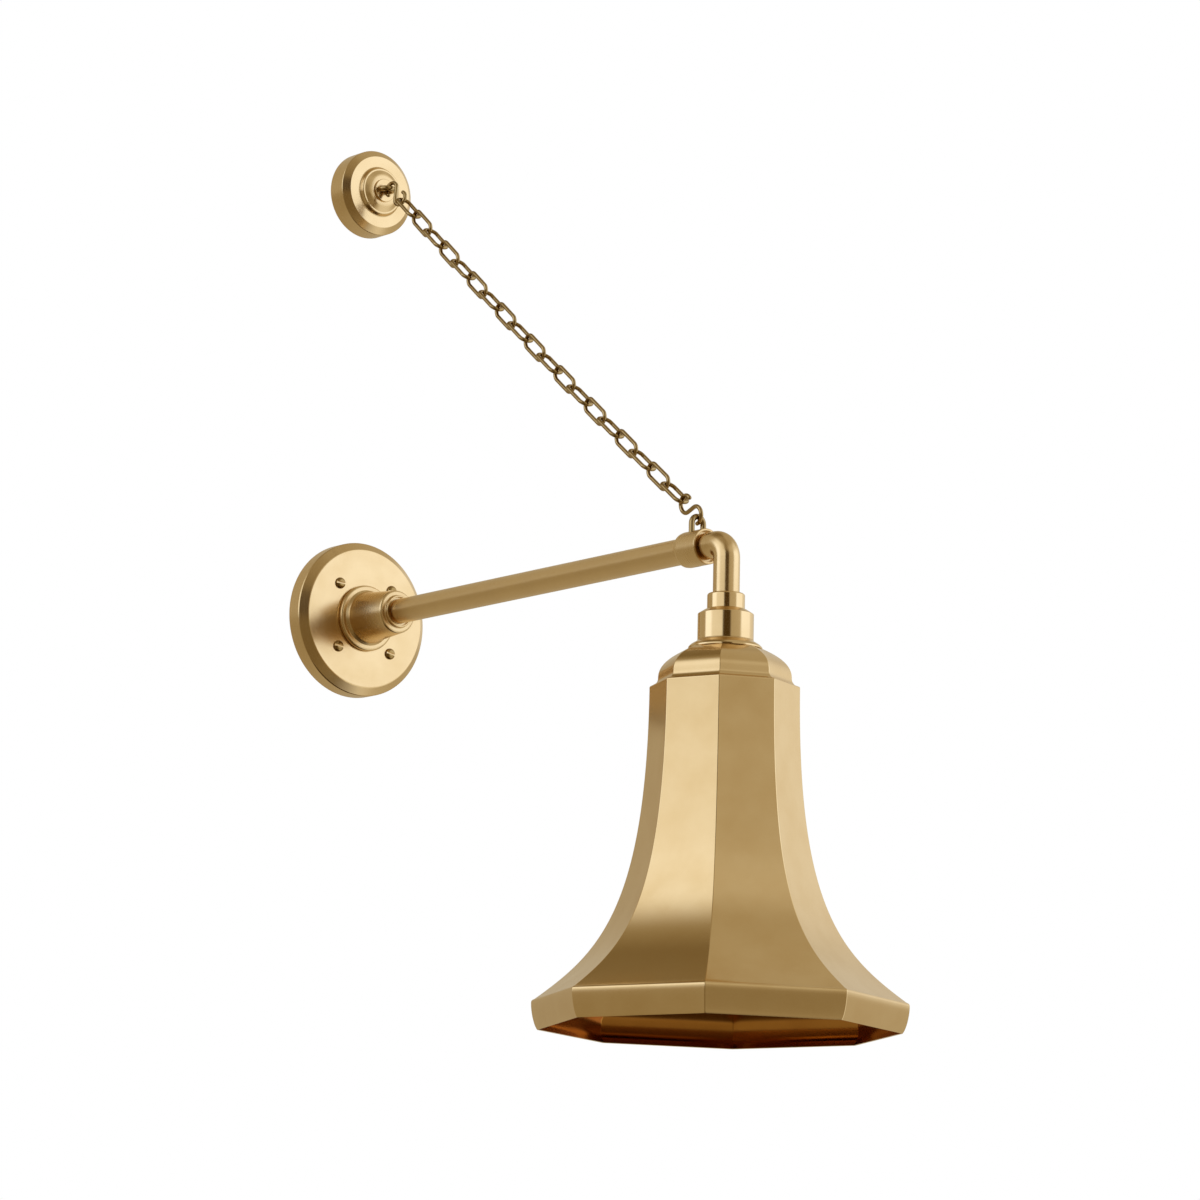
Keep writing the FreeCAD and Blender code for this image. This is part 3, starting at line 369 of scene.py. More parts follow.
def spun(name, corners, direction, material, height=0.0, segments=96):
    """A turned piece: direction is "wall" for an axis square to the wall, at height, or
    "drop" for the upright axis of the lampholder, with depths below the arm."""
    outline = rounded(corners)
    mesh = bmesh.new()
    rings = []
    for radius, place in outline:
        ring = []
        for k in range(segments if radius > 1e-6 else 1):
            a = math.tau * k / segments
            c, s = radius * math.cos(a), radius * math.sin(a)
            spot = (c, -place, height + s) if direction == "wall" else (c, s - REACH, -place)
            ring.append(mesh.verts.new(Vector(spot) * MM))
        rings.append(ring)
    for ring, following in zip(rings, rings[1:] + rings[:1]):
        if len(ring) == 1 and len(following) == 1:
            continue
        for k in range(segments):
            n = (k + 1) % segments
            corners_of_face = []
            for r, index in ((ring, k), (ring, n), (following, n), (following, k)):
                vert = r[index if len(r) > 1 else 0]
                if vert not in corners_of_face:
                    corners_of_face.append(vert)
            mesh.faces.new(corners_of_face)
    return mesh_piece(name, mesh, material)


def mesh_piece(name, mesh, material):
    """An object from a bmesh, with outward faces and evenly weighted smooth shading."""
    bmesh.ops.recalc_face_normals(mesh, faces=mesh.faces)
    data = bpy.data.meshes.new(name)
    mesh.to_mesh(data)
    mesh.free()
    if material is not None:
        data.materials.append(material)
    piece = bpy.data.objects.new(name, data)
    bpy.context.scene.collection.objects.link(piece)
    shade_evenly(piece)
    return piece


def shade_evenly(piece, sharp=35):
    """Smooth faces, crisp edges past an angle, and normals that follow the large faces."""
    piece.data.shade_smooth()
    piece.data.set_sharp_from_angle(angle=math.radians(sharp))
    even = piece.modifiers.new("even shading", "WEIGHTED_NORMAL")
    even.keep_sharp = True
    even.weight = 90


def mount(piece, body, *nodes, slot="antique_brass"):
    """The piece rides on its body and stands for its solids, whose imported meshes it hides. The slot
    argument is not used.
    """
    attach(piece, body)
    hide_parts(*nodes)
    tris = sum(len(p.vertices) - 2 for p in piece.data.polygons)
    print(f"{piece.name}: {tris} triangles, on {body}")


# %% [markdown]
# The wall plate is a shallow cup of spun brass, 120 mm across, with a short upright side
# and a broad bevel. Its hollow back is made too, because the light is also looked at from
# behind, where the fixing plate sits inside it.

# %% Wall plate
SLIP = 0.15
PLATE_D, PLATE_FACE_D, PLATE_SIDE, PLATE_DEPTH, PLATE_WALL, PLATE_EDGE = 120.0, 107.8, 12.3, 17.2, 2.5, 1.6
TAIL_R = 19.0 / 2
plate_r, face_r, back_face = PLATE_D / 2, PLATE_FACE_D / 2, PLATE_DEPTH - PLATE_WALL
wall_plate = spun("wall_plate_spun", [
    (TAIL_R + SLIP, back_face), (face_r - PLATE_WALL * 0.4, back_face, PLATE_EDGE),
    (plate_r - PLATE_WALL, PLATE_SIDE - PLATE_WALL * 0.6, PLATE_EDGE), (plate_r - PLATE_WALL, 0),
    (plate_r, 0, 0.3), (plate_r, PLATE_SIDE, PLATE_EDGE), (face_r, PLATE_DEPTH, PLATE_EDGE),
    (TAIL_R + SLIP, PLATE_DEPTH)],
    "wall", brass_plate, segments=160)
mount(wall_plate, "wall_frame", "wall_plate")

# %% [markdown]
# The boss that takes the arm is turned from bar: a flange with a beaded edge, a small
# hollow, a long taper, and a short nose with a recess round the tube. The canopy above is
# turned in the same manner, with a bevel, a bead and a low dome in its middle.

# %% Boss at the foot of the arm
ARM_R = 19.0 / 2
BOSS_FLANGE_R, BOSS_FLANGE_T, BOSS_BASE_R, BOSS_COVE = 51.2 / 2, 4.2, 39.4 / 2, 1.9
BOSS_END_R, BOSS_LENGTH, BOSS_NOSE_R, BOSS_NOSE_T = 33.0 / 2, 42.3, 24.8 / 2, 2.6
BOSS_BORE_R, BOSS_GRIP, BOSS_RECESS, BOSS_RECESS_DEPTH = 16.0 / 2, 15.0, 1.7, 1.8
NUT_T, TAIL_PAST_NUT = 3.6, 0.6
GAP = 0.3
boss_end = PLATE_DEPTH + BOSS_LENGTH
nose_end = boss_end + BOSS_NOSE_T
arm_start = nose_end - BOSS_GRIP
tail_end = back_face - NUT_T - TAIL_PAST_NUT
flange_top = PLATE_DEPTH + BOSS_FLANGE_T
boss = spun("arm_boss_turned", [
    (BOSS_BORE_R, tail_end), (TAIL_R, tail_end, 0.5), (TAIL_R, PLATE_DEPTH),
    (BOSS_FLANGE_R, PLATE_DEPTH, BOSS_FLANGE_T * 0.45), (BOSS_FLANGE_R, flange_top, BOSS_FLANGE_T * 0.45),
    (BOSS_BASE_R + BOSS_COVE, flange_top, 0.4), (BOSS_BASE_R, flange_top + BOSS_COVE, BOSS_COVE),
    (BOSS_END_R, boss_end, 1.8), (BOSS_NOSE_R, boss_end, 0.8), (BOSS_NOSE_R, nose_end, 0.7),
    (ARM_R + BOSS_RECESS, nose_end, 0.15), (ARM_R + BOSS_RECESS, nose_end - BOSS_RECESS_DEPTH),
    (ARM_R + SLIP, nose_end - BOSS_RECESS_DEPTH), (ARM_R + SLIP, arm_start - GAP),
    (BOSS_BORE_R, arm_start - GAP)],
    "wall", brass_arm_end, segments=128)
mount(boss, "wall_frame", "arm_boss")

# %% Canopy, and the small disc in its middle
CANOPY_R, CANOPY_SIDE, CANOPY_DEPTH, CANOPY_FACE_R, CANOPY_WALL = 67.4 / 2, 16.0, 20.2, 57.0 / 2, 2.2
BEAD_R, BEAD_RISE, BEAD_SLOPE, DOME_R, DOME_RISE = 39.0 / 2, 3.1, 1.3, 33.4 / 2, 2.4
DISC_R, DISC_T, POST_R, POST_ROOM = 18.4 / 2, 1.6, 12.0, 2
dome_top = CANOPY_DEPTH + BEAD_RISE + DOME_RISE
disc_face = dome_top + DISC_T
bead_top = CANOPY_DEPTH + BEAD_RISE
canopy = spun("canopy_turned", [
    (0, dome_top), (DISC_R, dome_top), (DOME_R * 0.78, dome_top - DOME_RISE * 0.18, 5.0),
    (DOME_R, bead_top, 1.2), (BEAD_R - BEAD_SLOPE, bead_top, 1.0), (BEAD_R, CANOPY_DEPTH, 1.2),
    (CANOPY_FACE_R, CANOPY_DEPTH, 0.5),
    (CANOPY_R, CANOPY_SIDE, 0.9), (CANOPY_R, 0, 1.4), (CANOPY_R - CANOPY_WALL, 0),
    (CANOPY_R - CANOPY_WALL, CANOPY_SIDE - CANOPY_WALL * 0.5, 1.0),
    (CANOPY_FACE_R - CANOPY_WALL * 0.5, CANOPY_DEPTH - CANOPY_WALL, 1.0),
    (POST_R + POST_ROOM, CANOPY_DEPTH - CANOPY_WALL), (POST_R + SLIP, bead_top - CANOPY_WALL),
    (0, bead_top - CANOPY_WALL)],
    "wall", brass_canopy, height=CANOPY_Z, segments=144)
disc = spun("eye_disc_turned", [(0, dome_top), (DISC_R, dome_top), (DISC_R, disc_face, 0.4), (0, disc_face)],
            "wall", brass_canopy, height=CANOPY_Z, segments=72)
mount(disc, "wall_frame", "eye_disc")

# %% [markdown]
# Two pieces have a hole across their turned shape: the canopy's side takes a grub screw,
# and the socket at the arm's end takes the stop screw. A cylinder cuts each hole with a
# Boolean modifier, whose result is baked into the mesh at once, so that the piece stays
# one plain, closed mesh.

# %% Cutting a hole across a turned piece
def bake(piece):
    """Turns what the modifiers make into the piece's own mesh."""
    shape = bpy.data.meshes.new_from_object(piece.evaluated_get(bpy.context.evaluated_depsgraph_get()))
    piece.modifiers.clear()
    piece.data = shape


def round_cutter(radius, start, aim, length):
    """A cylinder from start along aim, in millimetres."""
    mesh = bmesh.new()
    bmesh.ops.create_cone(mesh, cap_ends=True, segments=40, radius1=radius * MM, radius2=radius * MM,
                          depth=length * MM)
    spin = Vector((0, 0, 1)).rotation_difference(aim).to_matrix().to_4x4()
    mesh.transform(Matrix.Translation((start + aim * length / 2) * MM) @ spin)
    return mesh_piece("cutter", mesh, None)


def cut(piece, cutter):
    """Cuts one closed shape out of another and bakes the result."""
    piece.modifiers.clear()
    cutter.modifiers.clear()
    opening = piece.modifiers.new("opening", "BOOLEAN")
    opening.object = cutter
    opening.solver = "EXACT"
    opening.material_mode = "TRANSFER"
    bake(piece)
    bpy.data.objects.remove(cutter)
    shade_evenly(piece)


def side_hole(piece, radius, centre, degrees, start, length):
    """Drills square to the Y axis, aimed so many degrees up from +X."""
    angle = math.radians(degrees)
    aim = Vector((math.cos(angle), 0, math.sin(angle)))
    cut(piece, round_cutter(radius, centre + aim * start, aim, length))


GRUB_R, GRUB_DEPTH, GRUB_TURN = 4.9 / 2, 9.6, 205
side_hole(canopy, GRUB_R + SLIP, Vector((0, -GRUB_DEPTH, CANOPY_Z)), GRUB_TURN, 24, 16)
mount(canopy, "wall_frame", "canopy_cover")

# %% Socket at the end of the arm
SOCKET_R, SOCKET_BACK, SOCKET_FRONT, SOCKET_ROUND, SOCKET_SWELL, SOCKET_NECK = 13.0, 45.5, 21.2, 2.8, 4.0, 0.6
ELBOW_R, ELBOW_FIT, MOUTH_R, MOUTH_DEPTH, LEAD_HOLE_R = 19.0 / 2, 0.05, 22.6 / 2, 3.2, 6.0
ARM_SEAT, WEB_T, STOP_FROM_WEB, STOP_R, STOP_TURN = 5.5, 1.6, 3.8, 2.0, -75
socket_start, socket_mouth = REACH - SOCKET_BACK, REACH - SOCKET_FRONT
web_start = socket_start + ARM_SEAT
web_end = web_start + WEB_T
stop_y = web_end + STOP_FROM_WEB
socket = spun("arm_socket_turned", [
    (ARM_R + SLIP, socket_start), (SOCKET_R - SOCKET_NECK, socket_start, SOCKET_ROUND),
    (SOCKET_R, socket_start + SOCKET_SWELL, SOCKET_ROUND * 1.5), (SOCKET_R, socket_mouth, 0.7),
    (MOUTH_R, socket_mouth, 0.3), (MOUTH_R, socket_mouth - MOUTH_DEPTH),
    (ELBOW_R + ELBOW_FIT, socket_mouth - MOUTH_DEPTH), (ELBOW_R + ELBOW_FIT, web_end),
    (LEAD_HOLE_R, web_end), (LEAD_HOLE_R, web_start), (ARM_R + SLIP, web_start)],
    "wall", brass_arm_end, segments=112)
side_hole(socket, STOP_R + SLIP, Vector((0, -stop_y, 0)), STOP_TURN, 8, 9)
mount(socket, "wall_frame", "arm_socket")

# %% [markdown]
# The lampholder hangs on the elbow: a plain collar, the cylindrical shell with its
# sloping shoulder, and the flared gallery that the shade sits under. They share one
# axis, and each begins where the one above it ends.

# %% Lampholder stack
CAP_TOP, CAP_R, CAP_HEIGHT = 37.3, 26.8 / 2, 11.9
HOLDER_R, HOLDER_HEIGHT, HOLDER_SHOULDER_R, HOLDER_CHAMFER, HOLDER_WALL = 39.8 / 2, 21.9, 30.4 / 2, 3.0, 1.2
GALLERY_R, GALLERY_HEIGHT, GALLERY_LIP, GALLERY_SLEEVE, GALLERY_BORE_R = 52.6 / 2, 6.4, 1.3, 14.0, 34.6 / 2
GALLERY_SPIGOT, INSERT_R, INSERT_LEDGE, INSERT_SEAT = 6.5, 34.2 / 2, 1.5, 1.6
holder_top = CAP_TOP + CAP_HEIGHT
gallery_top = holder_top + HOLDER_HEIGHT
shade_top = gallery_top + GALLERY_HEIGHT
collar = spun("holder_cap_turned", [
    (ELBOW_R + SLIP, CAP_TOP), (CAP_R, CAP_TOP, 1.6), (CAP_R, holder_top, 0.8), (ELBOW_R + SLIP, holder_top)],
    "drop", brass_holder)
mount(collar, "drop", "holder_cap")
shell = spun("holder_shell_turned", [
    (ELBOW_R + SLIP, holder_top), (HOLDER_SHOULDER_R, holder_top, 0.5),
    (HOLDER_R, holder_top + HOLDER_CHAMFER, 0.6), (HOLDER_R, gallery_top, 0.2),
    (HOLDER_R - HOLDER_WALL, gallery_top),
    (HOLDER_R - HOLDER_WALL, holder_top + HOLDER_CHAMFER + HOLDER_WALL * 0.4),
    (HOLDER_SHOULDER_R - HOLDER_WALL * 0.4, holder_top + HOLDER_WALL),
    (ELBOW_R + SLIP, holder_top + HOLDER_WALL)],
    "drop", brass_holder, segments=112)
mount(shell, "drop", "holder_shell")
sleeve_r = HOLDER_R - 0.3
insert_foot = shade_top + GALLERY_SLEEVE - INSERT_SEAT
ledge_r = INSERT_R - INSERT_LEDGE
spigot_r, spigot_top = HOLDER_R - HOLDER_WALL - SLIP, gallery_top - GALLERY_SPIGOT
gallery = spun("shade_gallery_turned", [
    (GALLERY_BORE_R, spigot_top), (spigot_r, spigot_top, 0.3), (spigot_r, gallery_top),
    (HOLDER_R, gallery_top, 0.2), (HOLDER_R + 0.2, gallery_top + 0.6, 1.5),
    (GALLERY_R - 1.6, shade_top - GALLERY_LIP * 2.3, 3.0), (GALLERY_R, shade_top - GALLERY_LIP, 0.5),
    (GALLERY_R, shade_top, 0.4), (sleeve_r, shade_top), (sleeve_r, shade_top + GALLERY_SLEEVE, 0.4),
    (ledge_r, shade_top + GALLERY_SLEEVE), (ledge_r, insert_foot), (GALLERY_BORE_R, insert_foot)],
    "drop", brass_holder, segments=128)
mount(gallery, "drop", "shade_gallery")

# %% [markdown]
# The arm, the elbow, the hooks and the staples are all one thing to a maker: a round
# section that follows a line. A line could be swept with a curve's own bevel, but
# Geometry Nodes keep the sizes as named inputs and end the wire in a ball where a cut end
# has been rounded over. The tree takes a chain of points, turns it into a curve, sweeps a
# circle along it and, where asked, adds a ball at both ends.

# %% Geometry Nodes: a round section along a line
def new_tree(name, wanted):
    """An empty geometry tree with named inputs, given as (name, kind of socket)."""
    tree = bpy.data.node_groups.new(name, "GeometryNodeTree")
    tree.is_modifier = True
    tree.interface.new_socket(name="Geometry", in_out="OUTPUT", socket_type="NodeSocketGeometry")
    for label, kind in [("Geometry", "Geometry")] + wanted:
        tree.interface.new_socket(name=label, in_out="INPUT", socket_type="NodeSocket" + kind)
    return tree, tree.nodes.new("NodeGroupInput").outputs


def maths_in(tree):
    """A function that adds a calculation with numbers to the tree."""
    def maths(operation, *values):
        return add(tree, "ShaderNodeMath", dict(enumerate(values)), operation=operation).outputs[0]
    return maths


def run_tree(piece, tree, values):
    """Adds the tree to the piece, sets its inputs by identifier and bakes the result."""
    nodes = piece.modifiers.new(tree.name, "NODES")
    nodes.node_group = tree
    for item in tree.interface.items_tree:
        if item.in_out == "INPUT" and item.name in values:
            nodes[item.identifier] = values[item.name]
    bake(piece)
    closed = bmesh.new()
    closed.from_mesh(piece.data)
    bmesh.ops.recalc_face_normals(closed, faces=closed.faces)
    closed.to_mesh(piece.data)
    closed.free()
    return piece


round_bar, given = new_tree("round_section_along_a_line", [
    ("Wire radius", "Float"), ("Ball ends", "Bool"), ("Sides", "Int"), ("Finish", "Material")])
line = add(round_bar, "GeometryNodeMeshToCurve", {"Mesh": given["Geometry"]})
section = add(round_bar, "GeometryNodeCurvePrimitiveCircle", {
    "Resolution": given["Sides"], "Radius": given["Wire radius"]})
swept = add(round_bar, "GeometryNodeCurveToMesh", {
    "Curve": line, "Profile Curve": section.outputs["Curve"], "Fill Caps": True})
tips = add(round_bar, "GeometryNodeCurveEndpointSelection")
wanted_tips = add(round_bar, "FunctionNodeBooleanMath", {0: tips, 1: given["Ball ends"]},
                  operation="AND")
ball = add(round_bar, "GeometryNodeMeshUVSphere", {
    "Segments": given["Sides"], "Rings": 12, "Radius": given["Wire radius"]})
balls = add(round_bar, "GeometryNodeInstanceOnPoints", {
    "Points": line, "Selection": wanted_tips, "Instance": ball})
both = add(round_bar, "GeometryNodeJoinGeometry", {"Geometry": swept})
round_bar.links.new(balls.outputs[0], both.inputs[0])
real = add(round_bar, "GeometryNodeRealizeInstances", {"Geometry": both})
coated = add(round_bar, "GeometryNodeSetMaterial", {"Geometry": real, "Material": given["Finish"]})
add(round_bar, "NodeGroupOutput", {0: coated})
print("tree:", round_bar.name, "with", len(round_bar.nodes), "nodes")


# %% Lines to sweep along
def line_object(name, points):
    """A chain of points, in millimetres, as a mesh of edges."""
    data = bpy.data.meshes.new(name)
    data.from_pydata([Vector(p) * MM for p in points], [(i, i + 1) for i in range(len(points) - 1)], [])
    piece = bpy.data.objects.new(name, data)
    bpy.context.scene.collection.objects.link(piece)
    return piece


def arc(centre, first, second, radius, start, sweep, step=5):
    """Points on an arc in the plane of two unit directions, angles in degrees."""
    count = max(2, math.ceil(abs(sweep) / step))
    angles = [math.radians(start + sweep * k / count) for k in range(count + 1)]
    return [centre + first * (radius * math.cos(a)) + second * (radius * math.sin(a)) for a in angles]


def bar(name, points, radius, material, ball_ends=False, sides=24):
    piece = run_tree(line_object(name, points), round_bar, {
        "Wire radius": radius * MM, "Ball ends": ball_ends, "Sides": sides, "Finish": material})
    shade_evenly(piece, 50)
    return piece


X, Y, Z = Vector((1, 0, 0)), Vector((0, 1, 0)), Vector((0, 0, 1))
BEND_R, ELBOW_PAST_SHELL = 12.0, 4.2
arm = bar("arm_tube_drawn", [(0, -arm_start, 0), (0, -(web_start - GAP), 0)], ARM_R, brass_tube, sides=96)
mount(arm, "wall_frame", "arm_tube")
bend = arc(Vector((0, -(REACH - BEND_R), -BEND_R)), Z, -Y, BEND_R, 0, 90, 3)
elbow_foot = holder_top + HOLDER_WALL + ELBOW_PAST_SHELL
elbow = bar("elbow_bent", [(0, -(web_end + GAP), 0)] + bend + [(0, -REACH, -elbow_foot)],
            ELBOW_R, brass_elbow, sides=96)
mount(elbow, "drop", "elbow")

# %% [markdown]
# Both staples are a hairpin of 4.3 mm wire: two legs and a half circle. The S-hooks are
# one thinner wire, with two open loops joined by the straight line that touches both.
# The line of pull from staple to staple sets where everything between them hangs.

# %% Staples and hooks
STAPLE_R, STAPLE_HALF, STAPLE_ROOT, HOOK_R, HOOK_SPREAD, LINK_WIRE = 4.3 / 2, 5.35, 5.5, 3.1 / 2, 15.0, 3.0
UPPER_LOOP_R, LOWER_LOOP_R, UPPER_HOOK_TURN, LOWER_HOOK_TURN = 5.3, 6.3, -13.0, 8.0
UPPER_REACH, LOWER_REACH, LOWER_FROM_MOUTH, LOWER_ROOT = 7.3, 10.1, 11.5, 2.0
staple_y = socket_mouth - LOWER_FROM_MOUTH
upper_bar = Vector((0, -(disc_face + UPPER_REACH), CANOPY_Z))
lower_bar = Vector((0, -staple_y, SOCKET_R + LOWER_REACH))


def staple(name, foot, top, out):
    spring = top - out * STAPLE_HALF
    side = X * STAPLE_HALF
    points = [foot - side] + arc(spring, -X, out, STAPLE_HALF, 0, 180, 6) + [foot + side]
    return bar(name, points, STAPLE_R, brass_wire, sides=20)


upper_foot = Vector((0, -(disc_face - STAPLE_ROOT), CANOPY_Z))
mount(staple("upper_staple_bent", upper_foot, upper_bar, -Y), "wall_frame", "upper_staple")
lower_foot = Vector((0, -staple_y, math.sqrt(SOCKET_R ** 2 - STAPLE_HALF ** 2) - LOWER_ROOT))
mount(staple("lower_staple_bent", lower_foot, lower_bar, Z), "wall_frame", "lower_staple")

pull = (lower_bar - upper_bar).normalized()


def seat(radius, wire):
    """From a loop's centre to the middle of a wire that pulls on it."""
    return radius - HOOK_R - wire / 2 - GAP


upper_loop = upper_bar + pull * seat(UPPER_LOOP_R, 2 * STAPLE_R)
lower_loop = lower_bar - pull * (seat(LOWER_LOOP_R, 2 * STAPLE_R) + HOOK_SPREAD)
first_end = upper_loop + pull * (HOOK_SPREAD + seat(UPPER_LOOP_R, LINK_WIRE))
last_end = lower_loop - pull * seat(LOWER_LOOP_R, LINK_WIRE)


def hook(name, start, turned, sign, radius, sweeps):
    up = X.cross(pull)
    across = (up * math.cos(math.radians(turned)) + X * math.sin(math.radians(turned))) * sign
    lean = math.degrees(math.acos(min(0.95, 2 * radius / HOOK_SPREAD)))
    upper = arc(start, pull, across, radius, lean + sweeps[0], -sweeps[0])
    lower = arc(start + pull * HOOK_SPREAD, pull, across, radius, 180 + lean, sweeps[1])
    return bar(name, upper + lower, HOOK_R, brass_wire, ball_ends=True, sides=20)


mount(hook("upper_hook_bent", upper_loop, UPPER_HOOK_TURN, -1, UPPER_LOOP_R, (238, 240)),
      "stay_chain", "upper_hook")
mount(hook("lower_hook_bent", lower_loop, LOWER_HOOK_TURN, 1, LOWER_LOOP_R, (248, 190)),
      "stay_chain", "lower_hook")
print("pull", [round(v, 4) for v in pull], "chain", round((last_end - first_end).length, 1), "mm")

# %% [markdown]
# A chain is one link many times over. The tree draws one link as a rectangle whose
# corners are filleted until its ends are half circles, sweeps the wire round it, and sets
# a copy on each point of the sagging run, every second one a quarter turn on. Each link
# moves by itself in the finished part, so the tree runs once for each link, with an input
# that says which link to keep.

# %% Geometry Nodes: a run of links
chain_run, given = new_tree("chain_run", [
    ("Links", "Int"), ("Keep", "Int"), ("First end", "Vector"), ("Pull", "Vector"),
    ("Sag direction", "Vector"), ("Length", "Float"), ("Pitch", "Float"), ("Sag", "Float"), ("Play", "Float"),
    ("Wire radius", "Float"), ("Link width", "Float"), ("Twist", "Float"), ("Finish", "Material")])
ALMOST_HALF = 0.4999                 # a full half would leave no edge between two fillets
maths = maths_in(chain_run)


def vectors(operation, inputs):
    return add(chain_run, "ShaderNodeVectorMath", inputs, operation=operation).outputs[0]


which = add(chain_run, "GeometryNodeInputIndex").outputs[0]
wire_d = maths("MULTIPLY", given["Wire radius"], 2.0)
loop_length = maths("ADD", maths("ADD", given["Pitch"], given["Play"]), wire_d)
from_first = maths("MULTIPLY_ADD", which, given["Pitch"], maths("MULTIPLY", loop_length, 0.5))
share = maths("DIVIDE", from_first, given["Length"])
dip = maths("MULTIPLY", maths("MULTIPLY", share, maths("SUBTRACT", 1.0, share)),
            maths("MULTIPLY", given["Sag"], 4.0))
steep = maths("MULTIPLY", maths("SUBTRACT", 1.0, maths("MULTIPLY", share, 2.0)),
              maths("DIVIDE", maths("MULTIPLY", given["Sag"], 4.0), given["Length"]))
down_the_line = vectors("MULTIPLY_ADD", {0: given["Pull"], 1: from_first, 2: given["First end"]})
place = vectors("MULTIPLY_ADD", {0: given["Sag direction"], 1: dip, 2: down_the_line})
heading = vectors("NORMALIZE", {
    0: vectors("MULTIPLY_ADD", {0: given["Sag direction"], 1: steep, 2: given["Pull"]})})
points = add(chain_run, "GeometryNodePoints", {"Count": given["Links"], "Position": place})
wall_line = add(chain_run, "ShaderNodeCombineXYZ", {"X": 1.0}).outputs[0]
facing = add(chain_run, "FunctionNodeAxesToRotation", {0: heading, 1: wall_line},
             primary_axis="Y", secondary_axis="X")
odd = maths("MODULO", which, 2.0)
quarter = maths("SUBTRACT", given["Twist"], maths("MULTIPLY", odd, math.pi / 2))
spin_by = add(chain_run, "FunctionNodeEulerToRotation", {
    0: add(chain_run, "ShaderNodeCombineXYZ", {"Y": quarter}).outputs[0]})
facing_on = add(chain_run, "FunctionNodeRotateRotation", {0: facing, 1: spin_by},
                rotation_space="LOCAL")
middle_width = maths("SUBTRACT", given["Link width"], wire_d)
oblong = add(chain_run, "GeometryNodeCurvePrimitiveQuadrilateral", {
    "Width": middle_width, "Height": loop_length}, mode="RECTANGLE")
oval = add(chain_run, "GeometryNodeFilletCurve", {
    "Curve": oblong, "Count": 12, "Radius": maths("MULTIPLY", middle_width, ALMOST_HALF),
    "Limit Radius": True}, mode="POLY")
wire = add(chain_run, "GeometryNodeCurvePrimitiveCircle", {"Resolution": 18, "Radius": given["Wire radius"]})
one_link = add(chain_run, "GeometryNodeCurveToMesh", {
    "Curve": oval, "Profile Curve": wire})
chosen = maths("COMPARE", which, given["Keep"], 0.1)
links = add(chain_run, "GeometryNodeInstanceOnPoints", {
    "Points": points, "Selection": chosen, "Instance": one_link,
    "Rotation": facing_on})
real = add(chain_run, "GeometryNodeRealizeInstances", {"Geometry": links})
coated = add(chain_run, "GeometryNodeSetMaterial", {"Geometry": real, "Material": given["Finish"]})
add(chain_run, "NodeGroupOutput", {0: coated})
print("tree:", chain_run.name, "with", len(chain_run.nodes), "nodes")

# %% The nineteen links
LINKS = 19
LINK_WIDTH, SAG, TWIST = 13.4, 3.0, 5.0
run_length = (last_end - first_end).length
pitch = (run_length - GAP - LINK_WIRE) / LINKS
sag_direction = X.cross(pull).normalized()
if sag_direction.z > 0:
    sag_direction = -sag_direction
for number in range(LINKS):
    link = run_tree(line_object(f"link_{number + 1:02d}_of_the_stay", [(0, 0, 0), (0, 0, 1)]), chain_run, {
        "Links": LINKS, "Keep": number, "First end": first_end * MM, "Pull": pull,
        "Sag direction": sag_direction, "Length": run_length * MM, "Pitch": pitch * MM, "Sag": SAG * MM,
        "Play": GAP * MM,
        "Wire radius": LINK_WIRE / 2 * MM, "Link width": LINK_WIDTH * MM, "Twist": math.radians(TWIST),
        "Finish": brass_wire})
    shade_evenly(link, 60)
    mount(link, f"chain_link_{number + 1:02d}", f"chain_link_{number + 1:02d}")
print("pitch", round(pitch, 2), "mm")

# %% [markdown]
# The shade is the main piece and follows a rule, so Geometry Nodes make it too: one curve
# drawn at a corner, from the crown down to the turned-in rim and back up the inside, and
# an octagon that scales with that curve at every level. Eight pieces of sheet meet in
# corners that are bent, not ground, so each corner is rounded by the same small radius at
# every height. A grid is laid over both rules: its columns go round the octagon and its
# rows follow the curve. The inside gets its own darker, more orange brass. This is partly
# the unpolished sheet, and partly painted shade for the dim inside of the bell.

# %% The curve at a corner of the shade
SIDES, SHADE_WALL, CORNER_ROUND, CORNER_STEPS = 8, 1.4, 1.1, 4
CROWN_R, CROWN_DROP, CROWN_FOOT_R, CROWN_PULLS = 55.6 / 2, 20.1, 94.8 / 2, (10.9, 5.0, 9.1)
COVE_DROP, WAIST_R, SHOULDER = 6.3, 106.6 / 2, 0.8
FLARE_DROP, FLARE_R, WAIST_PULL, RIM_PULL, RIM_ANGLE = 220.4, 130.0, 158.0, 54.5, 53.7
RIM_BULGE, RIM_TURN_IN, RIM_ROUND, RIM_HEIGHT = 2.4, 4.8, 2.8, 21.7
EDGE_PULLS, FOOT_PULLS, INNER_PULLS = (0.3, 0.7, 1.2), (0.1, 5.0, 3.6), (13.0, 8.0)
INNER_BEND_IN, INNER_BEND_DROP = 0.4, 12.0
CROWN_ROWS, COVE_ROWS, SHOULDER_ROWS, FLARE_ROWS, EDGE_ROWS, RIM_ROWS = 16, 8, 4, 52, 8, 12
INNER_EDGE_ROWS = 14
INNER_BEND_ROWS = 4                  # of the flare's rows, given up to the bend inside
crown_foot = shade_top + CROWN_DROP
cove_foot = crown_foot + COVE_DROP
waist_top = cove_foot + 2 * SHOULDER
flare_foot = waist_top + FLARE_DROP
shade_foot = flare_foot + RIM_HEIGHT


def bend_curve(ends, count):
    """Points on a Bezier curve through its control points."""
    a, b, c, d = (Vector(p) for p in ends)
    return [a * (1 - t) ** 3 + b * (3 * t * (1 - t) ** 2) + c * (3 * t * t * (1 - t)) + d * t ** 3
            for t in (k / count for k in range(count + 1))]


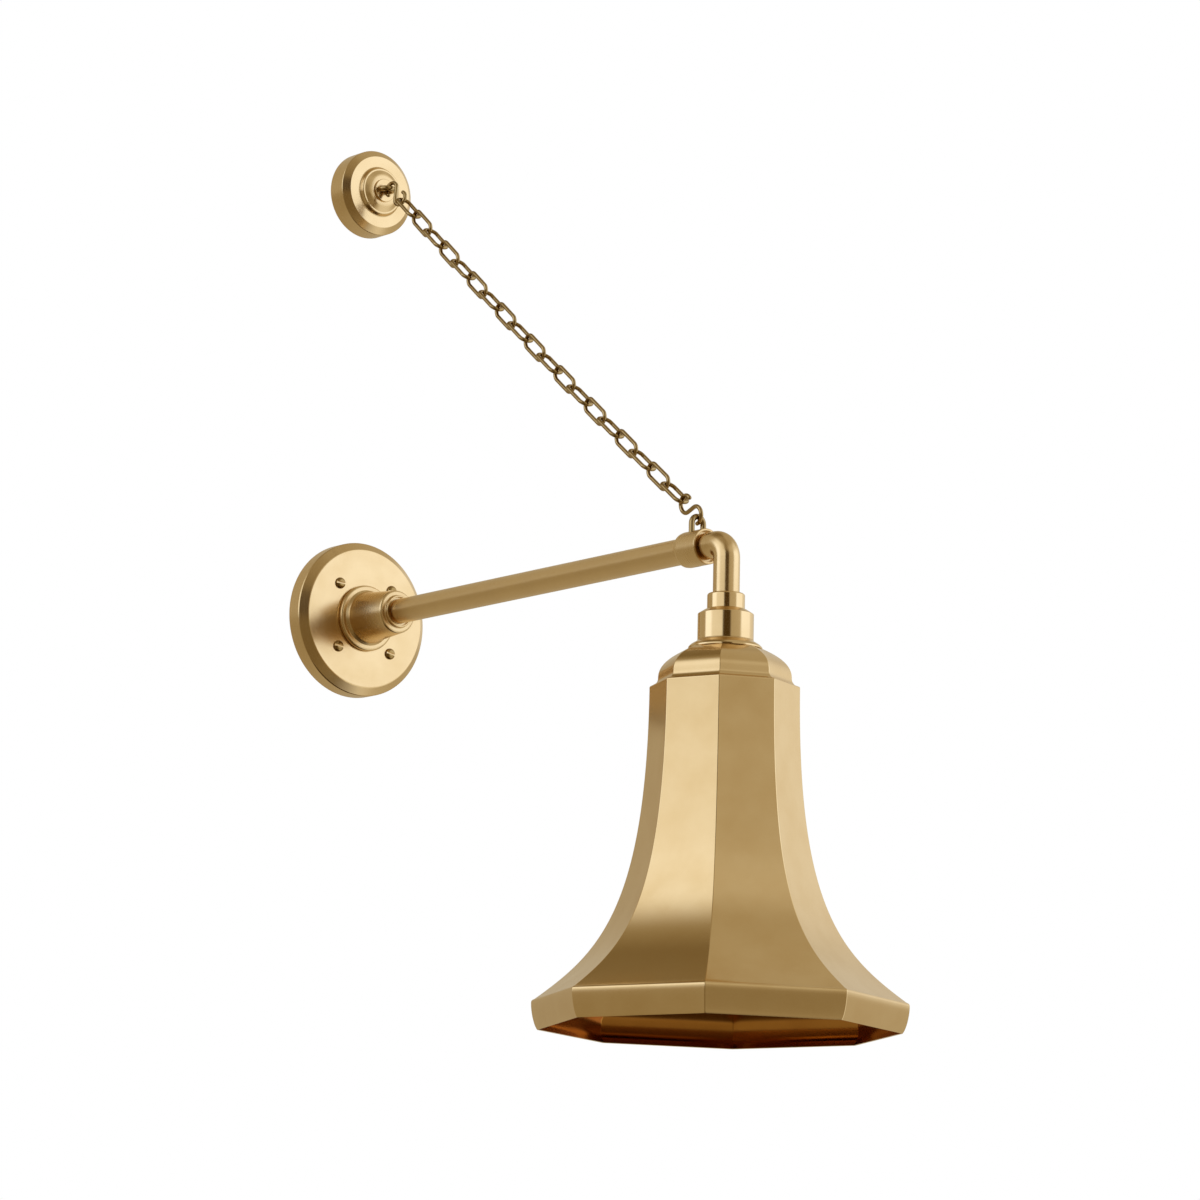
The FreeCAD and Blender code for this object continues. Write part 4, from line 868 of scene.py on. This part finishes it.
def arc_between(start, end, bulge, count):
    """An arc from start to end whose middle stands off the chord by bulge half chords."""
    start, end = Vector(start), Vector(end)
    half = (end - start) / 2
    centre = (start + end) / 2 - Vector((half.y, -half.x)) * ((1 - bulge * bulge) / (2 * bulge))
    first, last = start - centre, end - centre
    swing = first.angle(last)
    return [centre + (first * math.sin((1 - k / count) * swing) + last * math.sin(k / count * swing))
            / math.sin(swing) for k in range(count + 1)]


def corner_curve(inset):
    """The bell's curve at a corner, moved in by inset, as points (radius, depth)."""
    wide = inset / math.cos(math.pi / SIDES)
    slope = math.radians(RIM_ANGLE)
    crown_top = (CROWN_R - wide * 0.3, shade_top + inset)
    crown_low = (CROWN_FOOT_R - wide, crown_foot - inset * 0.1)
    cove_out = (WAIST_R - SHOULDER * 0.6 - wide * 0.6, cove_foot + inset * 0.8)
    waist = (WAIST_R - wide, waist_top + inset * 0.3)
    rim_top = (FLARE_R - wide * math.cos(slope), flare_foot + inset * math.sin(slope))
    rim_out = (FLARE_R + RIM_BULGE - wide, flare_foot + RIM_ROUND)
    rim_foot = (FLARE_R + RIM_BULGE - RIM_TURN_IN - wide * 0.75, shade_foot - inset * 0.2)
    curve = bend_curve([crown_top, (crown_top[0] + CROWN_PULLS[0], crown_top[1] + CROWN_PULLS[1]),
                        (crown_low[0], crown_low[1] - CROWN_PULLS[2]), crown_low], CROWN_ROWS)
    curve += arc_between(crown_low, cove_out, 1 - math.sqrt(2), COVE_ROWS)[1:]
    curve += arc_between(cove_out, waist, 0.3, SHOULDER_ROWS)[1:]
    curve += bend_curve([waist, (waist[0], waist[1] + WAIST_PULL),
                         (rim_top[0] - RIM_PULL * math.sin(slope), rim_top[1] - RIM_PULL * math.cos(slope)),
                         rim_top], FLARE_ROWS)[1:]
    if inset:                        # inside, the sheet goes round in one wide bend
        curve = curve[:-INNER_BEND_ROWS]
        back = curve[-1] - curve[-2]
        rim_out = (rim_out[0] - INNER_BEND_IN, flare_foot + INNER_BEND_DROP)
        curve += bend_curve([curve[-1], curve[-1] + back.normalized() * INNER_PULLS[0],
                             (rim_out[0], rim_out[1] - INNER_PULLS[1]), rim_out], INNER_EDGE_ROWS)[1:]
    else:
        curve += bend_curve([rim_top, (rim_out[0] - EDGE_PULLS[0], rim_top[1] + EDGE_PULLS[1]),
                             (rim_out[0], rim_out[1] - EDGE_PULLS[2]), rim_out], EDGE_ROWS)[1:]
    curve += bend_curve([rim_out, (rim_out[0] + FOOT_PULLS[0], rim_out[1] + FOOT_PULLS[1]),
                         (rim_foot[0] + RIM_TURN_IN * 0.62, rim_foot[1] - FOOT_PULLS[2]), rim_foot],
                        RIM_ROWS)[1:]
    return curve


HOLE_R = sleeve_r + SLIP + 1.8       # at a corner: the eight flats just clear the sleeve
outer_curve, inner_curve = corner_curve(0.0), corner_curve(SHADE_WALL)
section_of_bell = [Vector((HOLE_R, shade_top))] + outer_curve + list(reversed(inner_curve)) \
    + [Vector((HOLE_R, shade_top + SHADE_WALL))]
outside_rows = len(outer_curve) + 1
print("points round the section:", len(section_of_bell), "of which outside:", outside_rows)

# %% Geometry Nodes: an eight-sided bell
bell, given = new_tree("eight_sided_bell", [
    ("Sides", "Int"), ("Corner steps", "Int"), ("Corner radius", "Float"), ("Axis at", "Vector"),
    ("Outside rows", "Int"), ("Outside finish", "Material"), ("Inside finish", "Material")])
maths = maths_in(bell)
rows = add(bell, "GeometryNodeAttributeDomainSize", {0: given["Geometry"]}).outputs["Point Count"]
per_corner = maths("ADD", given["Corner steps"], 1.0)
columns = maths("MULTIPLY", given["Sides"], per_corner)
grid = add(bell, "GeometryNodeMeshGrid", {
    "Vertices X": maths("ADD", columns, 1.0), "Vertices Y": maths("ADD", rows, 1.0)})
number = add(bell, "GeometryNodeInputIndex").outputs[0]
in_column = maths("ADD", rows, 1.0)
column = maths("FLOOR", maths("DIVIDE", maths("ADD", number, 0.5), in_column))
row = maths("MODULO", maths("SUBTRACT", number, maths("MULTIPLY", column, in_column)), rows)
drawn = add(bell, "GeometryNodeSampleIndex", {
    "Geometry": given["Geometry"], "Value": add(bell, "GeometryNodeInputPosition").outputs[0], "Index": row},
    data_type="FLOAT_VECTOR")
drawn_at = add(bell, "ShaderNodeSeparateXYZ", {0: drawn}).outputs
corner = maths("FLOOR", maths("DIVIDE", maths("ADD", column, 0.5), per_corner))
step = maths("SUBTRACT", column, maths("MULTIPLY", corner, per_corner))
side_angle = maths("DIVIDE", math.tau, given["Sides"])
corner_angle = maths("MULTIPLY", corner, side_angle)
swing = maths("SUBTRACT", maths("DIVIDE", step, given["Corner steps"]), 0.5)
edge_angle = maths("MULTIPLY_ADD", swing, side_angle, corner_angle)
back_off = maths("DIVIDE", given["Corner radius"], maths("COSINE", maths("MULTIPLY", side_angle, 0.5)))
centre_r = maths("SUBTRACT", drawn_at["X"], back_off)
east = maths("ADD", maths("MULTIPLY", centre_r, maths("COSINE", corner_angle)),
             maths("MULTIPLY", given["Corner radius"], maths("COSINE", edge_angle)))
north = maths("ADD", maths("MULTIPLY", centre_r, maths("SINE", corner_angle)),
              maths("MULTIPLY", given["Corner radius"], maths("SINE", edge_angle)))
spot = add(bell, "ShaderNodeCombineXYZ", {"X": east, "Y": north, "Z": drawn_at["Z"]})
on_axis = add(bell, "ShaderNodeVectorMath", {0: spot, 1: given["Axis at"]}, operation="ADD")
face_row = maths("MODULO", number, rows)
inside = maths("GREATER_THAN", maths("ADD", face_row, 0.5), given["Outside rows"])
outer_coat = add(bell, "GeometryNodeSetMaterial", {
    "Geometry": grid, "Material": given["Outside finish"]})
inner_coat = add(bell, "GeometryNodeSetMaterial", {
    "Geometry": outer_coat, "Selection": inside, "Material": given["Inside finish"]})
laid = add(bell, "GeometryNodeSetPosition", {
    "Geometry": inner_coat, "Position": on_axis})
joined = add(bell, "GeometryNodeMergeByDistance", {"Geometry": laid, "Distance": 1e-6})
real = add(bell, "GeometryNodeRealizeInstances", {"Geometry": joined})
add(bell, "NodeGroupOutput", {0: real})
print("tree:", bell.name, "with", len(bell.nodes), "nodes")

# %% The shade
shade = run_tree(line_object("bell_shade_of_sheet", [(p.x, 0, -p.y) for p in section_of_bell]), bell, {
    "Sides": SIDES, "Corner steps": CORNER_STEPS, "Corner radius": CORNER_ROUND * MM,
    "Axis at": Vector((0, -REACH, 0)) * MM, "Outside rows": outside_rows,
    "Outside finish": brass_sheet, "Inside finish": brass_inside_with_painted_shade})
shade_evenly(shade, 28)
mount(shade, "drop", "shade")
loose = bmesh.new()
loose.from_mesh(shade.data)
print("open edges:", sum(1 for e in loose.edges if not e.is_manifold), "volume mm3:",
      round(loose.calc_volume() * 1e9))
loose.free()

# %% [markdown]
# Four slotted screws hold the wall plate. One is turned and slotted, and the slot keeps
# the bright brass that the driver has rubbed. A tree sets it on the corners of a square,
# with the turn of each slot stored on its point: no fitter leaves four slots in line.

# %% Geometry Nodes: screws on their circle
SCREW_D, SCREW_START, HEAD_D, HEAD_T, PCD = 3.9, 1.2, 8.8, 2.6, 70.0
SLOT_W, SLOT_DEPTH, SLOT_LENGTH, SLOT_TURNS = 1.4, 1.1, 20, (8, 4, 12, -6)
one_screw = spun("one_screw", [
    (0, SCREW_START), (SCREW_D / 2, SCREW_START, 0.4), (SCREW_D / 2, PLATE_DEPTH), (HEAD_D / 2, PLATE_DEPTH),
    (HEAD_D / 2, PLATE_DEPTH + HEAD_T, HEAD_T * 0.95), (0, PLATE_DEPTH + HEAD_T)],
    "wall", brass_screw, segments=48)
slot_box = bmesh.new()
bmesh.ops.create_cube(slot_box, size=1.0)
slot_box.transform(Matrix.Translation(Vector((0, -(PLATE_DEPTH + HEAD_T), 0)) * MM)
                   @ Matrix.Diagonal((SLOT_LENGTH * MM, 2 * SLOT_DEPTH * MM, SLOT_W * MM, 1)))
cut(one_screw, mesh_piece("cutter", slot_box, brass_plate))
one_screw.modifiers.clear()

screw_circle, given = new_tree("screws_on_a_circle", [("Screw", "Object")])
pattern = add(screw_circle, "GeometryNodeObjectInfo", {"Object": given["Screw"]})
slot_turn = add(screw_circle, "GeometryNodeInputNamedAttribute", {"Name": "slot_turn"}, data_type="FLOAT")
turned = add(screw_circle, "ShaderNodeCombineXYZ", {"Y": slot_turn.outputs["Attribute"]})
spots = add(screw_circle, "GeometryNodeMeshToPoints", {"Mesh": given["Geometry"]})
copies = add(screw_circle, "GeometryNodeInstanceOnPoints", {
    "Points": spots, "Instance": pattern.outputs["Geometry"], "Rotation": turned})
real = add(screw_circle, "GeometryNodeRealizeInstances", {"Geometry": copies})
add(screw_circle, "NodeGroupOutput", {0: real})

off = PCD / 2 * math.sqrt(0.5)
screws = line_object("wall_plate_screws", [(sx * off, 0, sz * off) for sx in (-1, 1) for sz in (-1, 1)])
turns_of_slots = screws.data.attributes.new("slot_turn", "FLOAT", "POINT")
turns_of_slots.data.foreach_set("value", [math.radians(a) for a in SLOT_TURNS])
run_tree(screws, screw_circle, {"Screw": one_screw})
bpy.data.objects.remove(one_screw)
shade_evenly(screws)
mount(screws, "wall_frame", "plate_screws")

# %% [markdown]
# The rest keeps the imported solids, which are right as they are: nuts, spacers, the fixing
# plate, terminals, the lampholder's inside and the small screws. They only get their
# finish.

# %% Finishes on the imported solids
FINISHES = {
    zinc: ["fixing_plate", "plate_spacers", "earth_screw", "boss_nut", "holder_nut", "insert_screws"],
    polyamide: ["terminal_block"], sheath: ["lead_in_arm", "lead_in_drop"], porcelain: ["socket_insert"],
    brass_holder: ["shade_ring", "lamp_shell", "lamp_contact"], brass_canopy: ["canopy_base"],
    brass_screw: ["stop_screw"], blackened: ["canopy_grub_screw"]}
for finish, names in FINISHES.items():
    for name in names:
        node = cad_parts[name]
        node.data.materials.clear()
        node.data.materials.append(finish)
    print(finish.name, "on", ", ".join(names))
